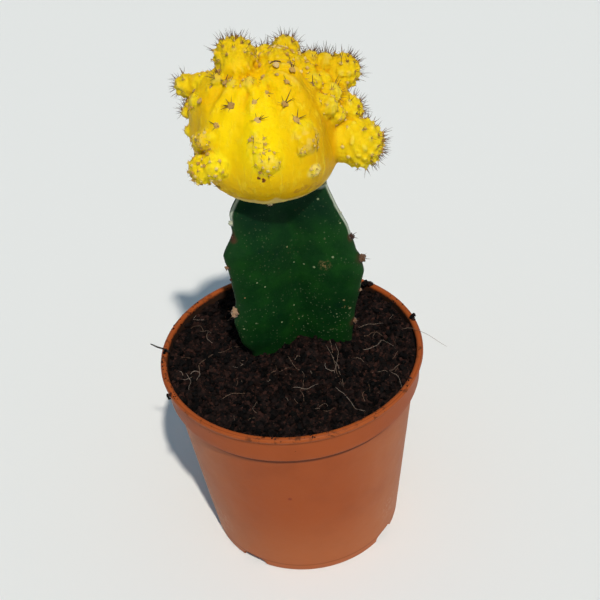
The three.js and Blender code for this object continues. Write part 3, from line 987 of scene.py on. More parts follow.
@dataclass(frozen=True)
class ScionSkin:
    """Golden yellow skin of the globe, lemon on the offsets, orange in painted shade in its creases and on
    its sides.
    """

    gold: Colour = (0.88, 0.545, 0.0010)
    bright: Colour = (0.95, 0.665, 0.0012)
    lemon: Colour = (0.90, 0.74, 0.010)
    streak: Colour = (0.97, 0.76, 0.03)
    orange: Colour = (0.60, 0.29, 0.001)
    brown: Colour = (0.36, 0.14, 0.010)
    cork: Colour = (0.46, 0.18, 0.02)
    dead: Colour = (0.15, 0.045, 0.008)
    cream: Colour = (0.84, 0.70, 0.30)
    speck: Colour = (0.34, 0.15, 0.02)
    # Middle of the painted sunlit patch on the globe.
    sunlit: Three = (-3.0, -7.0, 156.0)
    # Spans over which painted shade grows towards the bottom, the right and the left.
    low: Two = (150.0, 131.0)
    right: Two = (2.0, 17.0)
    left: Two = (-14.0, -26.0)
    # Height span where the offsets' heads get orange and brown mottling, partly painted shade between their
    # tubercles.
    crown: Two = (160.0, 168.0)
    graft: Two = (137.0, 132.0)

    def material(self) -> Material:
        """Builds the material.

        Returns:
            The material.
        """
        graph = Graph("scion_skin")
        crease_shade, lemon, cork = graph.tag(Tag.CREASE_SHADE), graph.tag(Tag.LEMON), graph.tag(Tag.CORK)
        # Painted sunlit patch: brighter round the sunlit point, broken up by noise.
        cloudy = graph.near(self.sunlit, 20.0) * (0.55 + 0.9 * graph.noise(6.0, 4.0, 0.6))
        # Painted shade low down and on the sides, weaker on the lemon offsets.
        right, left = (graph.between(graph.across, *side) for side in (self.right, self.left))
        edges = graph.highest(graph.between(graph.up, *self.low), right)
        edges = graph.highest(edges * (1.0 - 0.75 * lemon), left * (1.0 - 0.4 * lemon) * 0.6)
        streaks = self.streaks(graph)
        blush = graph.between(graph.noise(1.5, 3.0, 0.6, 6.0), 0.56, 0.72) * lemon
        # The offsets' heads: mottling that is partly painted shade.
        heads_mottle_and_shade = graph.between(graph.up, *self.crown) * lemon
        patches = graph.between(graph.noise(6.0, 2.0, 0.5, 4.0), 0.45, 0.6)
        near_base = graph.specks(1.3, 0.2, 0.5) * graph.between(graph.up, *self.graft)
        specks = graph.highest(graph.specks(1.9, 0.18, 0.22) * patches, near_base)
        streaky = graph.between(graph.noise(1.2, 4.0, 0.7, 2.0) * cork, 0.2, 0.5)
        torn = cork - 0.9 * graph.noise(0.5, 3.0, 0.7, 3.0)
        colour = graph.layered(self.gold, [
            # The painted sunlit patch.
            (self.bright, cloudy),
            (self.lemon, lemon * 0.85),
            # Painted shade low down and on the sides.
            (self.orange, edges * 0.7),
            (self.orange, graph.between(graph.noise(1.5, 5.0, 0.75, 8.0), 0.5, 0.8) * 0.3),
            (self.streak, streaks * (0.42 - 0.25 * lemon)),
            # Painted shade in the folds and rib grooves: orange, and brown in the deepest.
            (self.orange, graph.between(crease_shade, 0.1, 0.9) * (0.85 - 0.2 * lemon)),
            (self.brown, graph.between(crease_shade, 0.7, 1.2) * 0.5),
            # Brown blush, more on the heads, and orange mottling on the heads that is partly painted shade.
            (self.brown, blush * (0.3 + 0.25 * heads_mottle_and_shade)),
            (self.orange, heads_mottle_and_shade * (0.3 + 0.45 * graph.noise(1.1, 3.0, 0.6, 13.0))),
            (self.speck, specks * 0.6),
            (self.cork, streaky * 0.9),
            (self.dead, graph.between(torn, 0.75, 1.1)),
            (self.cream, graph.tag(Tag.PALE)),
        ])
        roughness = 0.46 + 0.18 * graph.noise(2.5, 4.0, 0.6, 9.0) + 0.2 * crease_shade
        grain = graph.bump(graph.noise(0.8, 4.0, 0.6), 0.12)
        flesh = {
            "Specular_IOR_Level": 0.16,
            "Specular_Tint": (1.0, 0.85, 0.35),
            "Subsurface_Weight": 0.12,
            "Subsurface_Radius": (1.0, 0.5, 0.05),
            "Subsurface_Scale": 1.4 * MM,
        }
        return graph.finish(colour, roughness, graph.bump(streaks, 0.16, grain), **flesh)

    @staticmethod
    def streaks(graph: Graph) -> Signal:
        """Fine upright streaks along the ribs: noise drawn out along the height.

        Args:
            graph: the material's graph.

        Returns:
            How strong the streaks are.
        """
        inputs = {0: graph.place, 1: (1.0, 1.0, 0.2)}
        drawn = graph.node("VectorMath", {"operation": "MULTIPLY"}, inputs)
        grain = graph.texture("TexNoise", drawn, 1.7, Detail=4.0, Roughness=0.62)
        return graph.between(grain, 0.5, 0.7)


@dataclass(frozen=True)
class Felt:
    """The woolly cushions that the spines stand in, from brown through tan to cream."""

    brown: Colour = (0.13, 0.05, 0.022)
    tan: Colour = (0.58, 0.335, 0.075)
    cream: Colour = (0.84, 0.66, 0.33)

    def material(self, name: str) -> Material:
        """Builds the material.

        Args:
            name: its name.

        Returns:
            The material.
        """
        graph = Graph(name)
        patchy = graph.tag(Tag.TONE) + 0.5 * graph.noise(0.5, 3.0, 0.7) - 0.25
        colour = graph.ramp(patchy, (0.0, self.brown), (0.45, self.tan), (1.0, self.cream))
        rough = graph.bump(graph.noise(0.22, 3.0, 0.7), 0.15)
        return graph.finish(colour, 0.95, rough, Specular_IOR_Level=0.1, Sheen_Weight=0.2)


@dataclass(frozen=True)
class SpineHorn:
    """Dry horny spines: one colour at the root, another at the tip."""

    root: Colour = (0.11, 0.042, 0.016)
    tip: Colour = (0.030, 0.014, 0.008)
    pale: Colour = (0.30, 0.18, 0.10)

    def material(self, name: str) -> Material:
        """Builds the material.

        Args:
            name: its name.

        Returns:
            The material.
        """
        graph = Graph(name)
        colour = graph.mix(self.root, self.tip, graph.tag(Tag.ALONG))
        colour = graph.mix(colour, self.pale, graph.between(graph.tag(Tag.TONE), 0.6, 1.0) * 0.6)
        return graph.finish(colour, 0.55, None, Specular_IOR_Level=0.2)


@dataclass(frozen=True)
class StudioPaper:
    """The plain pale floor."""

    colour: Colour = (0.80, 0.82, 0.81)

    def material(self) -> Material:
        """Builds the material."""
        return Graph("studio_floor").finish(self.colour, 0.75, None, Specular_IOR_Level=0.2)


# Sub-assemblies.


@dataclass
class Studio:
    """The camera, the floor, the backdrop and the soft light."""

    position: Three = (0.0, -296.0, 323.0)
    yaw: float = 0.83
    pitch: float = 38.08
    roll: float = -5.41
    lens: float = 72.0
    sensor: float = 36.0
    to_sun: Three = (0.121, -0.558, 0.821)
    sun_strength: float = 3.0
    sun_angle: float = 2.0
    sun_colour: Colour = (1.0, 0.92, 0.83)
    sky_before: Colour = (0.112, 0.232, 0.355)
    sky_behind: Colour = (0.242, 0.262, 0.275)
    floor_half: float = 1800.0
    floor_drop: float = 0.02
    backdrop_radius: float = 2600.0
    backdrop_glow: Colour = (0.745, 0.765, 0.755)
    backdrop_columns: int = 48
    backdrop_rows: int = 24
    backdrop_poles: Two = (178.0, 2.0)
    sky_blend: float = 0.6

    def build(self) -> None:
        """Sets up everything that isn't the object."""
        self.set_camera()
        self.lay_floor()
        self.hang_backdrop()
        self.light()

    def set_camera(self) -> None:
        """Stands the camera where the photograph was taken from."""
        yaw, pitch, roll = np.radians([self.yaw, self.pitch, self.roll])
        level = [np.sin(yaw) * np.cos(pitch), np.cos(yaw) * np.cos(pitch)]
        forward = Vector((*level, -np.sin(pitch)))
        right = forward.cross(Vector((0.0, 0.0, 1.0))).normalized()
        above = right.cross(forward)
        turned_right = np.cos(roll) * right + np.sin(roll) * above
        turned_up = -np.sin(roll) * right + np.cos(roll) * above
        turn = Matrix((turned_right, turned_up, -forward)).transposed()
        data = bpy.data.cameras.new("camera")
        data.lens = self.lens
        data.sensor_width = self.sensor
        data.clip_start = 0.01
        camera = bpy.data.objects.new("camera", data)
        camera.matrix_world = Matrix.Translation(Vector(self.position) * MM) @ turn.to_4x4()
        bpy.context.scene.collection.objects.link(camera)
        bpy.context.scene.camera = camera

    def lay_floor(self) -> None:
        """Lays the plain pale floor."""
        half, low = self.floor_half, -self.floor_drop
        signs = np.array([[-1, -1], [1, -1], [1, 1], [-1, 1]])
        corners = np.pad(half * signs, ((0, 0), (0, 1)), constant_values=low)
        floor = make_piece("studio_floor", corners, [np.array([[0, 1, 2, 3]])])
        floor.data.materials.append(StudioPaper().material())

    def hang_backdrop(self) -> None:
        """Hangs a wide pale dome round the floor that only the camera sees.

        It is a ball: each ring lies at the cosine of a polar angle, with the sine as its radius.
        """
        azimuth = np.linspace(0.0, 360.0, self.backdrop_columns, endpoint=False)
        polar = np.radians(np.linspace(*self.backdrop_poles, self.backdrop_rows))[:, None, None]
        rings = self.backdrop_radius * (np.sin(polar) * towards(azimuth)[None] + UP * np.cos(polar))
        pole = self.backdrop_radius * UP[None]
        dome = make_piece("studio_backdrop", *closed_skins(rings[None], -pole, pole))
        glow = {"Emission_Color": self.backdrop_glow, "Emission_Strength": 1.0}
        black = Graph("studio_backdrop").finish((0.0, 0.0, 0.0), 1.0, None, Specular_IOR_Level=0.0, **glow)
        dome.data.materials.append(black)
        for ray in ("diffuse", "glossy", "transmission", "shadow"):
            setattr(dome, f"visible_{ray}", False)

    def light(self) -> None:
        """Hangs the key light and fills the room with soft light."""
        data = bpy.data.lights.new("key_light", "SUN")
        data.energy = self.sun_strength
        data.angle = np.radians(self.sun_angle)
        data.color = self.sun_colour
        key = bpy.data.objects.new("key_light", data)
        key.rotation_euler = Vector(self.to_sun).to_track_quat("Z", "Y").to_euler()
        scene = bpy.context.scene
        scene.collection.objects.link(key)
        scene.world = self.soft_room()
        scene.view_settings.view_transform = "Standard"
        scene.view_settings.look = "None"

    def soft_room(self) -> bpy.types.World:
        """The soft light of the room: cool before the plant and warmer behind it.

        Returns:
            The world.
        """
        world = bpy.data.worlds.new("soft_room")
        world.use_nodes = True
        tree = world.node_tree
        kinds = ("TexCoord", "SeparateXYZ", "MapRange", "Mix")
        way, parts, share, blend = (tree.nodes.new("ShaderNode" + kind) for kind in kinds)
        share.inputs["From Min"].default_value = -self.sky_blend
        share.inputs["From Max"].default_value = self.sky_blend
        blend.data_type = "RGBA"
        blend.inputs[MIX_FIRST].default_value = (*self.sky_before, 1.0)
        blend.inputs[MIX_SECOND].default_value = (*self.sky_behind, 1.0)
        tree.links.new(way.outputs["Generated"], parts.inputs[0])
        tree.links.new(parts.outputs["Y"], share.inputs["Value"])
        tree.links.new(share.outputs["Result"], blend.inputs["Factor"])
        tree.links.new(blend.outputs[MIX_RESULT], tree.nodes["Background"].inputs["Color"])
        return world


@dataclass
class Pot:
    """The moulded pot: foot ring with notches, tapering body, stepped collar, rolled rim."""

    height: float = 72.2
    wall: float = 1.2
    bead_radius: float = 1.05
    rim_radius: float = 42.5
    collar_top_radius: float = 41.5
    collar_foot_radius: float = 41.1
    collar_height: float = 10.2
    step_height: float = 0.8
    shoulder_radius: float = 39.4
    foot_radius: float = 32.15
    foot_chamfer: float = 0.5
    floor_underside: float = 2.4
    floor_thickness: float = 1.3
    notch_count: int = 4
    first_notch: float = -38.0
    notch_half: Three = (4.7, 4.0, 2.9)
    notch_squareness: float = 0.6
    hole_radius: float = 3.0
    hole_distance: float = 21.0
    columns: int = 240
    longest_step: float = 2.2
    corner_round: float = 0.35
    corner_share: float = 0.4
    corner_points: int = 4
    floor_middle: float = 2.0
    bead_turn: Two = (-80.0, 180.0)
    bead_points: int = 14
    unevenness: float = 0.0016
    uneven_cell: float = 22.0
    cutter_points: int = 40
    overshoot: float = 1.5
    sharp: float = 42.0

    def profile(self) -> Array:
        """Corners of the outline as radius and height, from under the floor to its top.

        Returns:
            The corners, of shape (corners, 2).
        """
        collar_foot = self.height - self.collar_height
        floor_top = self.floor_underside + self.floor_thickness
        bead = np.radians(np.linspace(*self.bead_turn, self.bead_points))
        bead_x = self.rim_radius - self.bead_radius + self.bead_radius * np.cos(bead)
        bead_z = self.height - self.bead_radius + self.bead_radius * np.sin(bead)
        before = [
            (self.floor_middle, self.floor_underside),
            (self.foot_radius - 2 * self.wall, self.floor_underside),
            (self.foot_radius - self.wall - self.foot_chamfer, 0.0),
            (self.foot_radius - self.foot_chamfer, 0.0),
            (self.foot_radius, self.foot_chamfer),
            (self.shoulder_radius, collar_foot - self.step_height),
            (self.collar_foot_radius, collar_foot),
            (self.collar_top_radius, self.height - 2 * self.bead_radius),
        ]
        after = [
            (self.collar_foot_radius - self.wall, collar_foot + self.wall / 2),
            (self.shoulder_radius - self.wall, collar_foot - self.step_height),
            (self.foot_radius - self.wall, floor_top),
            (self.floor_middle, floor_top),
        ]
        return np.array([*before, *zip(bead_x, bead_z), *after])

    def stations(self) -> Array:
        """The profile with its corners rounded and its long runs divided.

        Near a corner the outline follows the curve a(1-t)^2 + 2bt(1-t) + ct^2, whose middle
        point b is the corner and whose ends a and c lie on the two runs.

        Returns:
            The stations, of shape (stations, 2).
        """
        corners = self.profile()
        runs = np.diff(corners, axis=0)
        lengths = np.linalg.norm(runs, axis=1)
        ways = runs / lengths[:, None]
        cuts = np.minimum(self.corner_round, lengths * self.corner_share)
        path = [corners[:1]]
        t = np.linspace(0.0, 1.0, self.corner_points)[:, None]
        for i in range(1, len(corners) - 1):
            first, last = corners[i] - ways[i - 1] * cuts[i - 1], corners[i] + ways[i] * cuts[i]
            path.append(self.divided(path[-1][-1], first)[:-1])
            path.append(first * (1 - t) ** 2 + 2 * corners[i] * t * (1 - t) + last * t**2)
        path.append(self.divided(path[-1][-1], corners[-1]))
        return np.concatenate(path)

    def divided(self, start: Array, end: Array) -> Array:
        """Stations from a start to an end, without the start, no further apart than allowed."""
        steps = max(1, int(np.ceil(np.linalg.norm(end - start) / self.longest_step)))
        return start + (end - start) * np.linspace(0.0, 1.0, steps + 1)[1:, None]

    def skin(self) -> Skin:
        """The profile turned round the Z axis, its radius a little uneven as moulded plastic is.

        Returns:
            The points and faces.
        """
        line = self.stations()
        azimuth = np.linspace(0.0, 360.0, self.columns, endpoint=False)
        rings = towards(azimuth)[None] * line[:, 0][:, None, None]
        rings[..., 2] = line[:, 1][:, None]
        uneven = self.unevenness * lattice_noise(rings, self.uneven_cell, 5)
        rings[..., :2] *= 1.0 + uneven[..., None]
        low = UP[None] * self.floor_underside
        return closed_skins(rings[None], low, low + UP * self.floor_thickness)

    def cutter(self) -> Object:
        """The arched notches of the foot ring and the drain holes, as one tool to cut with.

        A notch's section is a flattened circle: powers of the cosine and the sine of an angle.

        Returns:
            The tool.
        """
        skins = []
        angle = np.linspace(0.0, 2.0 * np.pi, self.cutter_points, endpoint=False)
        wave = np.stack([np.cos(angle), np.sin(angle)])[..., None]
        square = np.sign(wave) * np.abs(wave) ** self.notch_squareness
        half_width, half_length, rise = self.notch_half
        low = UP * (self.floor_underside - self.overshoot)
        high = UP * (self.floor_underside + self.floor_thickness + self.overshoot)
        for i in range(self.notch_count):
            outward = towards(np.array(self.first_notch + 360.0 / self.notch_count * i))
            side = np.cross(UP, outward)
            arch = side * half_width * square[0] + UP * rise * square[1]
            near, far = (outward * (self.foot_radius + step * half_length) for step in (-1.0, 1.0))
            skins.append(closed_skins(np.stack([arch + near, arch + far])[None], near[None], far[None]))
            middle = outward * self.hole_distance
            ring = (outward * wave[0] + side * wave[1]) * self.hole_radius + middle
            ends = (middle + low)[None], (middle + high)[None]
            skins.append(closed_skins(np.stack([ring + low, ring + high])[None], *ends))
        return make_piece("pot_cutter", *join_skins(skins))

    def build(self) -> None:
        """Makes the pot."""
        pot = make_piece("pot_shell", *self.skin())
        cutter = self.cutter()
        cut = pot.modifiers.new("notches_and_holes", "BOOLEAN")
        cut.operation = "DIFFERENCE"
        cut.object = cutter
        apply_modifiers(pot)
        bpy.data.objects.remove(cutter)
        pot.data.shade_smooth()
        pot.data.set_sharp_from_angle(angle=np.radians(self.sharp))
        hand_over(pot, PotPlastic().material(), Slot.POT_PLASTIC, Part.POT)


class Knob(NamedTuple):
    """A spine cushion on a margin of the stem: its place, size and tone, its spines and cork."""

    wing: int
    height: float
    radius: float
    tone: float
    spines: int
    cork: float


@dataclass
class Stem:
    """The three-winged stem, its spine cushions and its spines."""

    foot: float = 39.7
    top: float = 130.0
    axis: Two = (3.5, 12.5)
    top_axis: Two = (1.5, 12.0)
    lean_start: float = 112.0
    first_wing: float = -57.0
    margin_extra: float = 2.6
    margin_round: float = 0.9
    hollow_at_top: float = 0.2
    hollow_below: float = 0.42
    columns_per_wing: int = 64
    rows: int = 210
    sector: float = 120.0
    crowding: float = 1.4
    unevenness: tuple[Layer, ...] = ((0.16, 7.0, 2), (0.07, 2.6, 3))
    sharp: float = 50.0
    trimmed_from: Three = (121.0, 111.0, 114.0)
    wings: tuple[Stations, ...] = (
        ((39.7, 14.5), (62, 17), (69.5, 19.3), (76, 22.6), (84.5, 24.2), (92.5, 22.7), (101, 23.5),
         (111, 24.8), (117.6, 20.2), (123.7, 19.2), (130, 14.2)),
        ((39.7, 14), (62, 17), (69.5, 18.5), (80.7, 20.1), (93, 22.8), (98.5, 24), (103.4, 23.4),
         (106, 21.8), (113.6, 19.8), (122.7, 17.3), (130, 15.6)),
        ((39.7, 13), (69.5, 17.4), (78, 20), (86, 19.2), (95, 21.8), (104, 20.8), (112, 21.4),
         (121, 18.6), (130, 14.8)),
    )
    knobs: tuple[Knob, ...] = tuple(itertools.starmap(Knob, (
        (0, 121.5, 0.8, 1.1, 0, 0.4), (0, 116.5, 0.45, 0.0, 1, 1.5), (0, 107, 0.65, 0.3, 2, 0.8),
        (0, 102, 0.35, 0.0, 1, 0.5), (0, 89, 1.3, 0.52, 4, 1.0), (1, 119.5, 0.45, 1.0, 0, 0.5),
        (1, 111, 0.9, -0.1, 3, 1.3), (1, 103.4, 1.15, 0.12, 4, 1.7), (1, 91, 0.45, 0.5, 1, 0.8),
        (1, 77.5, 0.8, 0.2, 5, 1.6), (2, 120, 0.7, 0.7, 1, 0.8), (2, 110, 0.9, 0.2, 3, 1.5),
        (2, 97, 1.0, 0.5, 4, 1.5), (2, 82, 0.9, 0.3, 4, 1.5),
    )))

    def centre(self, height: Array) -> Array:
        """The middle of the stem: upright, leaning back a little under the graft.

        Args:
            height: the heights.

        Returns:
            The places.
        """
        share = eased(self.lean_start, self.top, height)[..., None]
        flat = np.array(self.axis) * (1 - share) + np.array(self.top_axis) * share
        return np.concatenate([flat, np.asarray(height, dtype=float)[..., None]], axis=-1)

    def point(self, azimuth: Array, height: Array) -> Array:
        """Places on the skin.

        Each face is the straight chord between two margins, hollowed towards its middle. The
        chord's ends are blunted where they would pass the margin's reach, by the soft minimum
        -r log(exp(-chord / r) + exp(-reach / r)).

        Args:
            azimuth: the azimuths.
            height: the heights.

        Returns:
            The places.
        """
        turn = (azimuth - self.first_wing) / self.sector
        before = np.floor(turn).astype(int)
        share = turn - before
        reaches = np.stack([between_stations(wing, height) for wing in self.wings])
        start = np.choose(before % 3, reaches)
        end = np.choose((before + 1) % 3, reaches)
        reach = start + (end - start) * eased(0.0, 1.0, share)
        off = np.radians((share - 0.5) * self.sector)
        fade = eased(self.lean_start, self.top, height)
        hollow = self.hollow_below + (self.hollow_at_top - self.hollow_below) * fade
        chord = (reach + self.margin_extra) / 2 / np.cos(off) * (1 - hollow * np.cos(1.5 * off) ** 2)
        blunt = self.margin_round
        radius = -blunt * np.log(np.exp(-chord / blunt) + np.exp(-reach / blunt))
        return self.centre(height) + towards(azimuth) * radius[..., None]

    def radius_at(self, x: Array, y: Array, height: float) -> Array:
        """How far inside (below 1) or outside (above 1) the stem's section places lie.

        Args:
            x: places to the right.
            y: places to the back.
            height: the section's height.

        Returns:
            The share of the way out to the skin.
        """
        away = np.stack([x - self.axis[0], y - self.axis[1]], axis=-1)
        azimuth = np.degrees(np.arctan2(away[..., 0], -away[..., 1]))
        edge = self.point(azimuth, np.full(azimuth.shape, height))[..., :2] - np.array(self.axis)
        return np.linalg.norm(away, axis=-1) / np.linalg.norm(edge, axis=-1)

    def build(self) -> None:
        """Makes the stem."""
        self.build_body()
        self.build_cushions()

    def build_body(self) -> None:
        """The skin as rings of points that crowd towards each margin, with low uneven relief."""
        per_wing, half = self.columns_per_wing, self.sector / 2
        step = np.arange(3 * per_wing)
        side = (step % per_wing) / (per_wing / 2) - 1.0
        azimuth = self.first_wing + half + self.sector * (step // per_wing)
        azimuth = azimuth + half * np.sign(side) * (1.0 - (1.0 - np.abs(side)) ** self.crowding)
        height = self.foot + (self.top - self.foot) * np.linspace(0.0, 1.0, self.rows)
        grid_height, grid_azimuth = np.meshgrid(height, azimuth, indexing="ij")
        rings = self.point(grid_azimuth, grid_height)
        rings += towards(grid_azimuth) * relief(rings, self.unevenness)[..., None]
        ends = self.centre(np.array([self.foot, self.top]))
        points, faces = closed_skins(rings[None], ends[:1], ends[1:])
        stem = make_piece("stem_body", points, faces, self.sharp)
        self.tag_body(stem, points)
        hand_over(stem, StemSkin().material(), Slot.STEM_SKIN, Part.ROOTSTOCK)

    def tag_body(self, stem: Object, points: Array) -> None:
        """Marks the margins, the trimmed strips, and the cork round the cushions.

        Args:
            stem: the stem's object.
            points: its points.
        """
        away = points[:, :2] - self.centre(points[:, 2])[:, :2]
        azimuth = np.degrees(np.arctan2(away[:, 0], -away[:, 1]))
        turn = (azimuth - self.first_wing) / self.sector
        nearest = np.rint(turn).astype(int)
        across = np.abs(turn - nearest) * np.radians(self.sector) * np.linalg.norm(away, axis=1)
        ragged = 0.35 * lattice_noise(points, 1.7, 6)
        tag_points(stem, Tag.MARGIN, eased(3.5, 0.6, across + ragged))
        low = np.array(self.trimmed_from)[nearest % 3]
        strip = eased(0.75, 0.4, across + 0.4 * ragged) * eased(low - 1.0, low + 1.0, points[:, 2])
        rim = eased(self.top - 1.1, self.top - 0.3, points[:, 2] + ragged)
        tag_points(stem, Tag.TRIM, np.clip(0.9 * strip + 0.75 * rim, 0.0, 1.0))
        cork = np.zeros(len(points))
        for knob, (root, _) in zip(self.knobs, self.cushion_places()):
            gap = distance(points, root) + 2.0 * ragged
            cork = np.maximum(cork, 0.9 * eased(1.5 * knob.cork, 0.7 * knob.cork, gap))
        tag_points(stem, Tag.CORK, cork)

    def cushion_places(self) -> list[tuple[Array, Array]]:
        """The middle of each spine cushion and the direction that it faces.

        Returns:
            The places and directions.
        """
        places = []
        for knob in self.knobs:
            azimuth = np.array(self.first_wing + self.sector * knob.wing)
            outward = unit(towards(azimuth) + 0.25 * UP)
            root = self.point(azimuth, np.array(knob.height)) + 0.35 * knob.radius * outward
            places.append((root, outward))
        return places

    def build_cushions(self) -> None:
        """The cushions on the margins with their short spines."""
        draw = np.random.default_rng(12)
        roots, outward = (np.array(part) for part in zip(*self.cushion_places()))
        radii = np.array([knob.radius for knob in self.knobs])
        pads = cushions(roots, outward, radii, 0.75, 12, 20, 0.6)
        felt = Felt(brown=(0.045, 0.018, 0.012), tan=(0.34, 0.18, 0.09), cream=(0.40, 0.42, 0.31))
        tones = [knob.tone for knob in self.knobs]
        cushion_piece("stem_cushions", pads, tones, felt.material("stem_felt"), Slot.STEM_SKIN)
        made = []
        for knob, root, way in zip(self.knobs, roots, outward):
            if knob.spines:
                longest = 2.4 * knob.radius + 0.6
                fan = Fan(knob.spines, 1.2 * knob.radius, longest, (0.4, 1.4), 0.15, 0.15)
                made.append(spine_paths(root[None], way[None], fan, draw, 6))
        paths, widths = join_paths(made)
        tones, horn = draw.uniform(0.0, 0.7, len(paths)), SpineHorn().material("stem_spine_horn")
        strand_piece("stem_spines", paths, widths, tones, 5, horn, Slot.SPINES)


@dataclass
class Peat:
    """The peat bed, its loose crumbs, and the root fibres that lie on it."""

    stem: Stem
    level: float = 69.5
    foot: float = 4.0
    foot_radius: float = 30.8
    top_radius: float = 40.15
    wall_gap: float = 0.6
    side_heights: tuple[float, ...] = (25.0, 45.0, 60.0, 66.0)
    middle: float = 0.3
    mound: Two = (6.0, 3.0)
    mound_height: float = 1.8
    mound_spread: float = 9.0
    lump_height: float = 0.4
    lumps: tuple[Layer, ...] = ((0.75, 3.4, 1), (0.2, 0.55, 4))
    folds: tuple[Layer, ...] = ((0.6, 1.9, 2), (0.5, 1.0, 3))
    folds_lowered: float = 0.45
    rings: int = 112
    columns: int = 520
    crumb_count: int = 5200
    crumb_smallest: float = 0.22
    crumb_rarity: float = 4.0
    crumb_rough: float = 0.24
    crumb_sharp: float = 40.0
    bead: Three = (41.45, 71.15, 1.05)
    dust_count: int = 260
    dust_band: Two = (40.3, 42.1)
    dust_patch: float = 9.0
    dust_sizes: Two = (0.14, 0.34)
    rim_clumps: tuple[Four, ...] = (
        (-39.1, -16.4, 71.8, 0.7), (-39.8, -16.2, 71.4, 0.6), (-39.4, -17.3, 71.2, 0.5),
        (-40.2, -15.6, 70.9, 0.35), (27.9, 29.4, 72.4, 1.2), (28.9, 28.6, 72.6, 1.0),
        (29.6, 28.9, 72.3, 0.8), (27.0, 29.7, 71.8, 1.2), (40.6, 8.6, 72.3, 1.0),
        (41.2, 9.4, 72.6, 0.8), (40.9, 7.4, 72.3, 0.7), (-41.2, 3.4, 72.4, 0.6),
        (-40.9, 4.6, 72.3, 0.8), (35.9, -20.5, 72.0, 0.7), (35.2, -21.6, 72.0, 0.5),
    )
    fibre_count: int = 55
    fibre_stations: int = 14
    laid_thickness: float = 0.078
    rim_thickness: Two = (0.09, 0.42)
    rim_tones: Two = (0.45, -0.4)
    over_rim: tuple[tuple[Three, ...], ...] = (
        ((36.5, 4.6, 71.0), (39.0, 3.0, 72.6), (41.8, 0.9, 72.75),
         (44.6, -1.4, 72.3), (47.8, -4.9, 71.6), (49.6, -7.6, 71.9)),
        ((-39.6, 4.2, 71.9), (-40.6, 4.8, 72.5), (-41.8, 5.4, 72.7),
         (-43.4, 6.3, 72.8), (-44.7, 7.3, 72.9), (-45.9, 8.0, 73.2)),
    )
    laid_fibres: tuple[tuple[Two, ...], ...] = (
        ((-30.2, -2.5), (-29.0, 0.5), (-25.0, 2.6), (-20.5, 4.2), (-15.0, 6.5)),
        ((-1.3, -2.8), (0.9, -8.1), (3.0, -11.4), (2.6, -17.4)),
        ((-0.9, -16.4), (2.7, -17.9), (7.3, -16.9)),
        ((12.9, 3.9), (12.9, -3.1), (13.4, -11.0), (14.9, -18.8)),
        ((14.7, 1.6), (14.6, -5.4), (12.9, -12.9), (14.2, -17.4)),
        ((11.3, 0.6), (13.2, -7.1), (14.6, -13.0), (15.1, -19.8)),
        ((12.5, -19.0), (15.1, -23.0), (17.5, -29.0), (21.0, -30.5)),
        ((22.7, 9.3), (26.6, 10.4), (31.5, 9.3)),
        ((23.0, -3.1), (27.0, -2.0), (30.0, 0.7), (33.4, -3.4)),
        ((24.0, 4.0), (27.5, 5.5), (30.0, 3.0)),
        ((30.3, -14.4), (32.4, -18.6), (32.8, -23.1)),
        ((26.3, -14.0), (29.0, -14.6), (30.0, -17.0)),
        ((-34.3, -5.4), (-33.0, -9.4), (-33.5, -14.4)),
        ((-30.3, -1.0), (-30.0, -5.0), (-31.2, -9.0)),
        ((-24.0, -19.0), (-19.0, -17.0), (-14.0, -17.5)),
    )

    def broad_height(self, x: Array, y: Array) -> Array:
        """The bed's height: a level, a low mound before the stem, and two sets of waves.

        Args:
            x: places to the right.
            y: places to the back.

        Returns:
            The heights.
        """
        from_mound = np.hypot(x - self.mound[0], y - self.mound[1]) / self.mound_spread
        mound = self.mound_height * np.exp(-(from_mound**2))
        broad = np.sin(0.31 * x + 0.17 * y + 0.6) + np.sin(0.22 * x - 0.36 * y + 2.1)
        fine = np.sin(0.83 * x + 0.41 * y) * np.sin(0.77 * y - 0.35 * x + 1.3)
        return self.level + mound + self.lump_height * (0.5 * broad + 1.3 * fine)

    def height(self, x: Array, y: Array) -> Array:
        """The bed's height with its crumbs: soft noise, and noise folded upwards at 0.

        Args:
            x: places to the right.
            y: places to the back.

        Returns:
            The heights.
        """
        place = np.stack([x, y, np.zeros_like(x)], axis=-1)
        crumbs = relief(place, self.lumps) + relief(place, self.folds, folded=True)
        return self.broad_height(x, y) + crumbs - self.folds_lowered

    def build(self) -> None:
        """Makes the peat and what lies on it."""
        draw = np.random.default_rng(7)
        self.build_bed()
        self.build_crumbs(draw)
        self.build_fibres(draw)

    def build_bed(self) -> None:
        """The bed: rings up the pot's wall, then inwards over the top to its middle."""
        azimuth = np.linspace(0.0, 360.0, self.columns, endpoint=False)
        side_height = np.array([self.foot, *self.side_heights])
        radii = [self.foot_radius, self.top_radius - self.wall_gap]
        side = np.interp(side_height, [self.foot, self.level], radii)
        radius = np.concatenate([side, np.linspace(self.top_radius, self.middle, self.rings)])
        rings = towards(azimuth)[None] * radius[:, None, None]
        rings[: len(side), :, 2] = side_height[:, None]
        top = rings[len(side) :]
        top[..., 2] = self.height(top[..., 0], top[..., 1])
        ends = UP[None] * self.foot, UP[None] * top[-1, :, 2].mean()
        bed = make_piece("peat_bed", *closed_skins(rings[None], *ends))
        hand_over(bed, PeatCrumb().material("peat", False), Slot.PEAT, Part.SOIL)

    def scatter(self, draw: Random, count: int, reach: float) -> tuple[Array, Array]:
        """Random places on the bed, clear of the stem.

        Args:
            draw: the random numbers.
            count: how many.
            reach: how far from the axis.

        Returns:
            The places, as x and y.
        """
        tries = 2 * count + 50
        radius = reach * np.sqrt(draw.uniform(0.0, 1.0, tries))
        place = towards(draw.uniform(0.0, 360.0, tries)) * radius[:, None]
        x, y = place[:, 0], place[:, 1]
        free = self.stem.radius_at(x, y, self.level + 1.0) > 1.04
        return x[free][:count], y[free][:count]

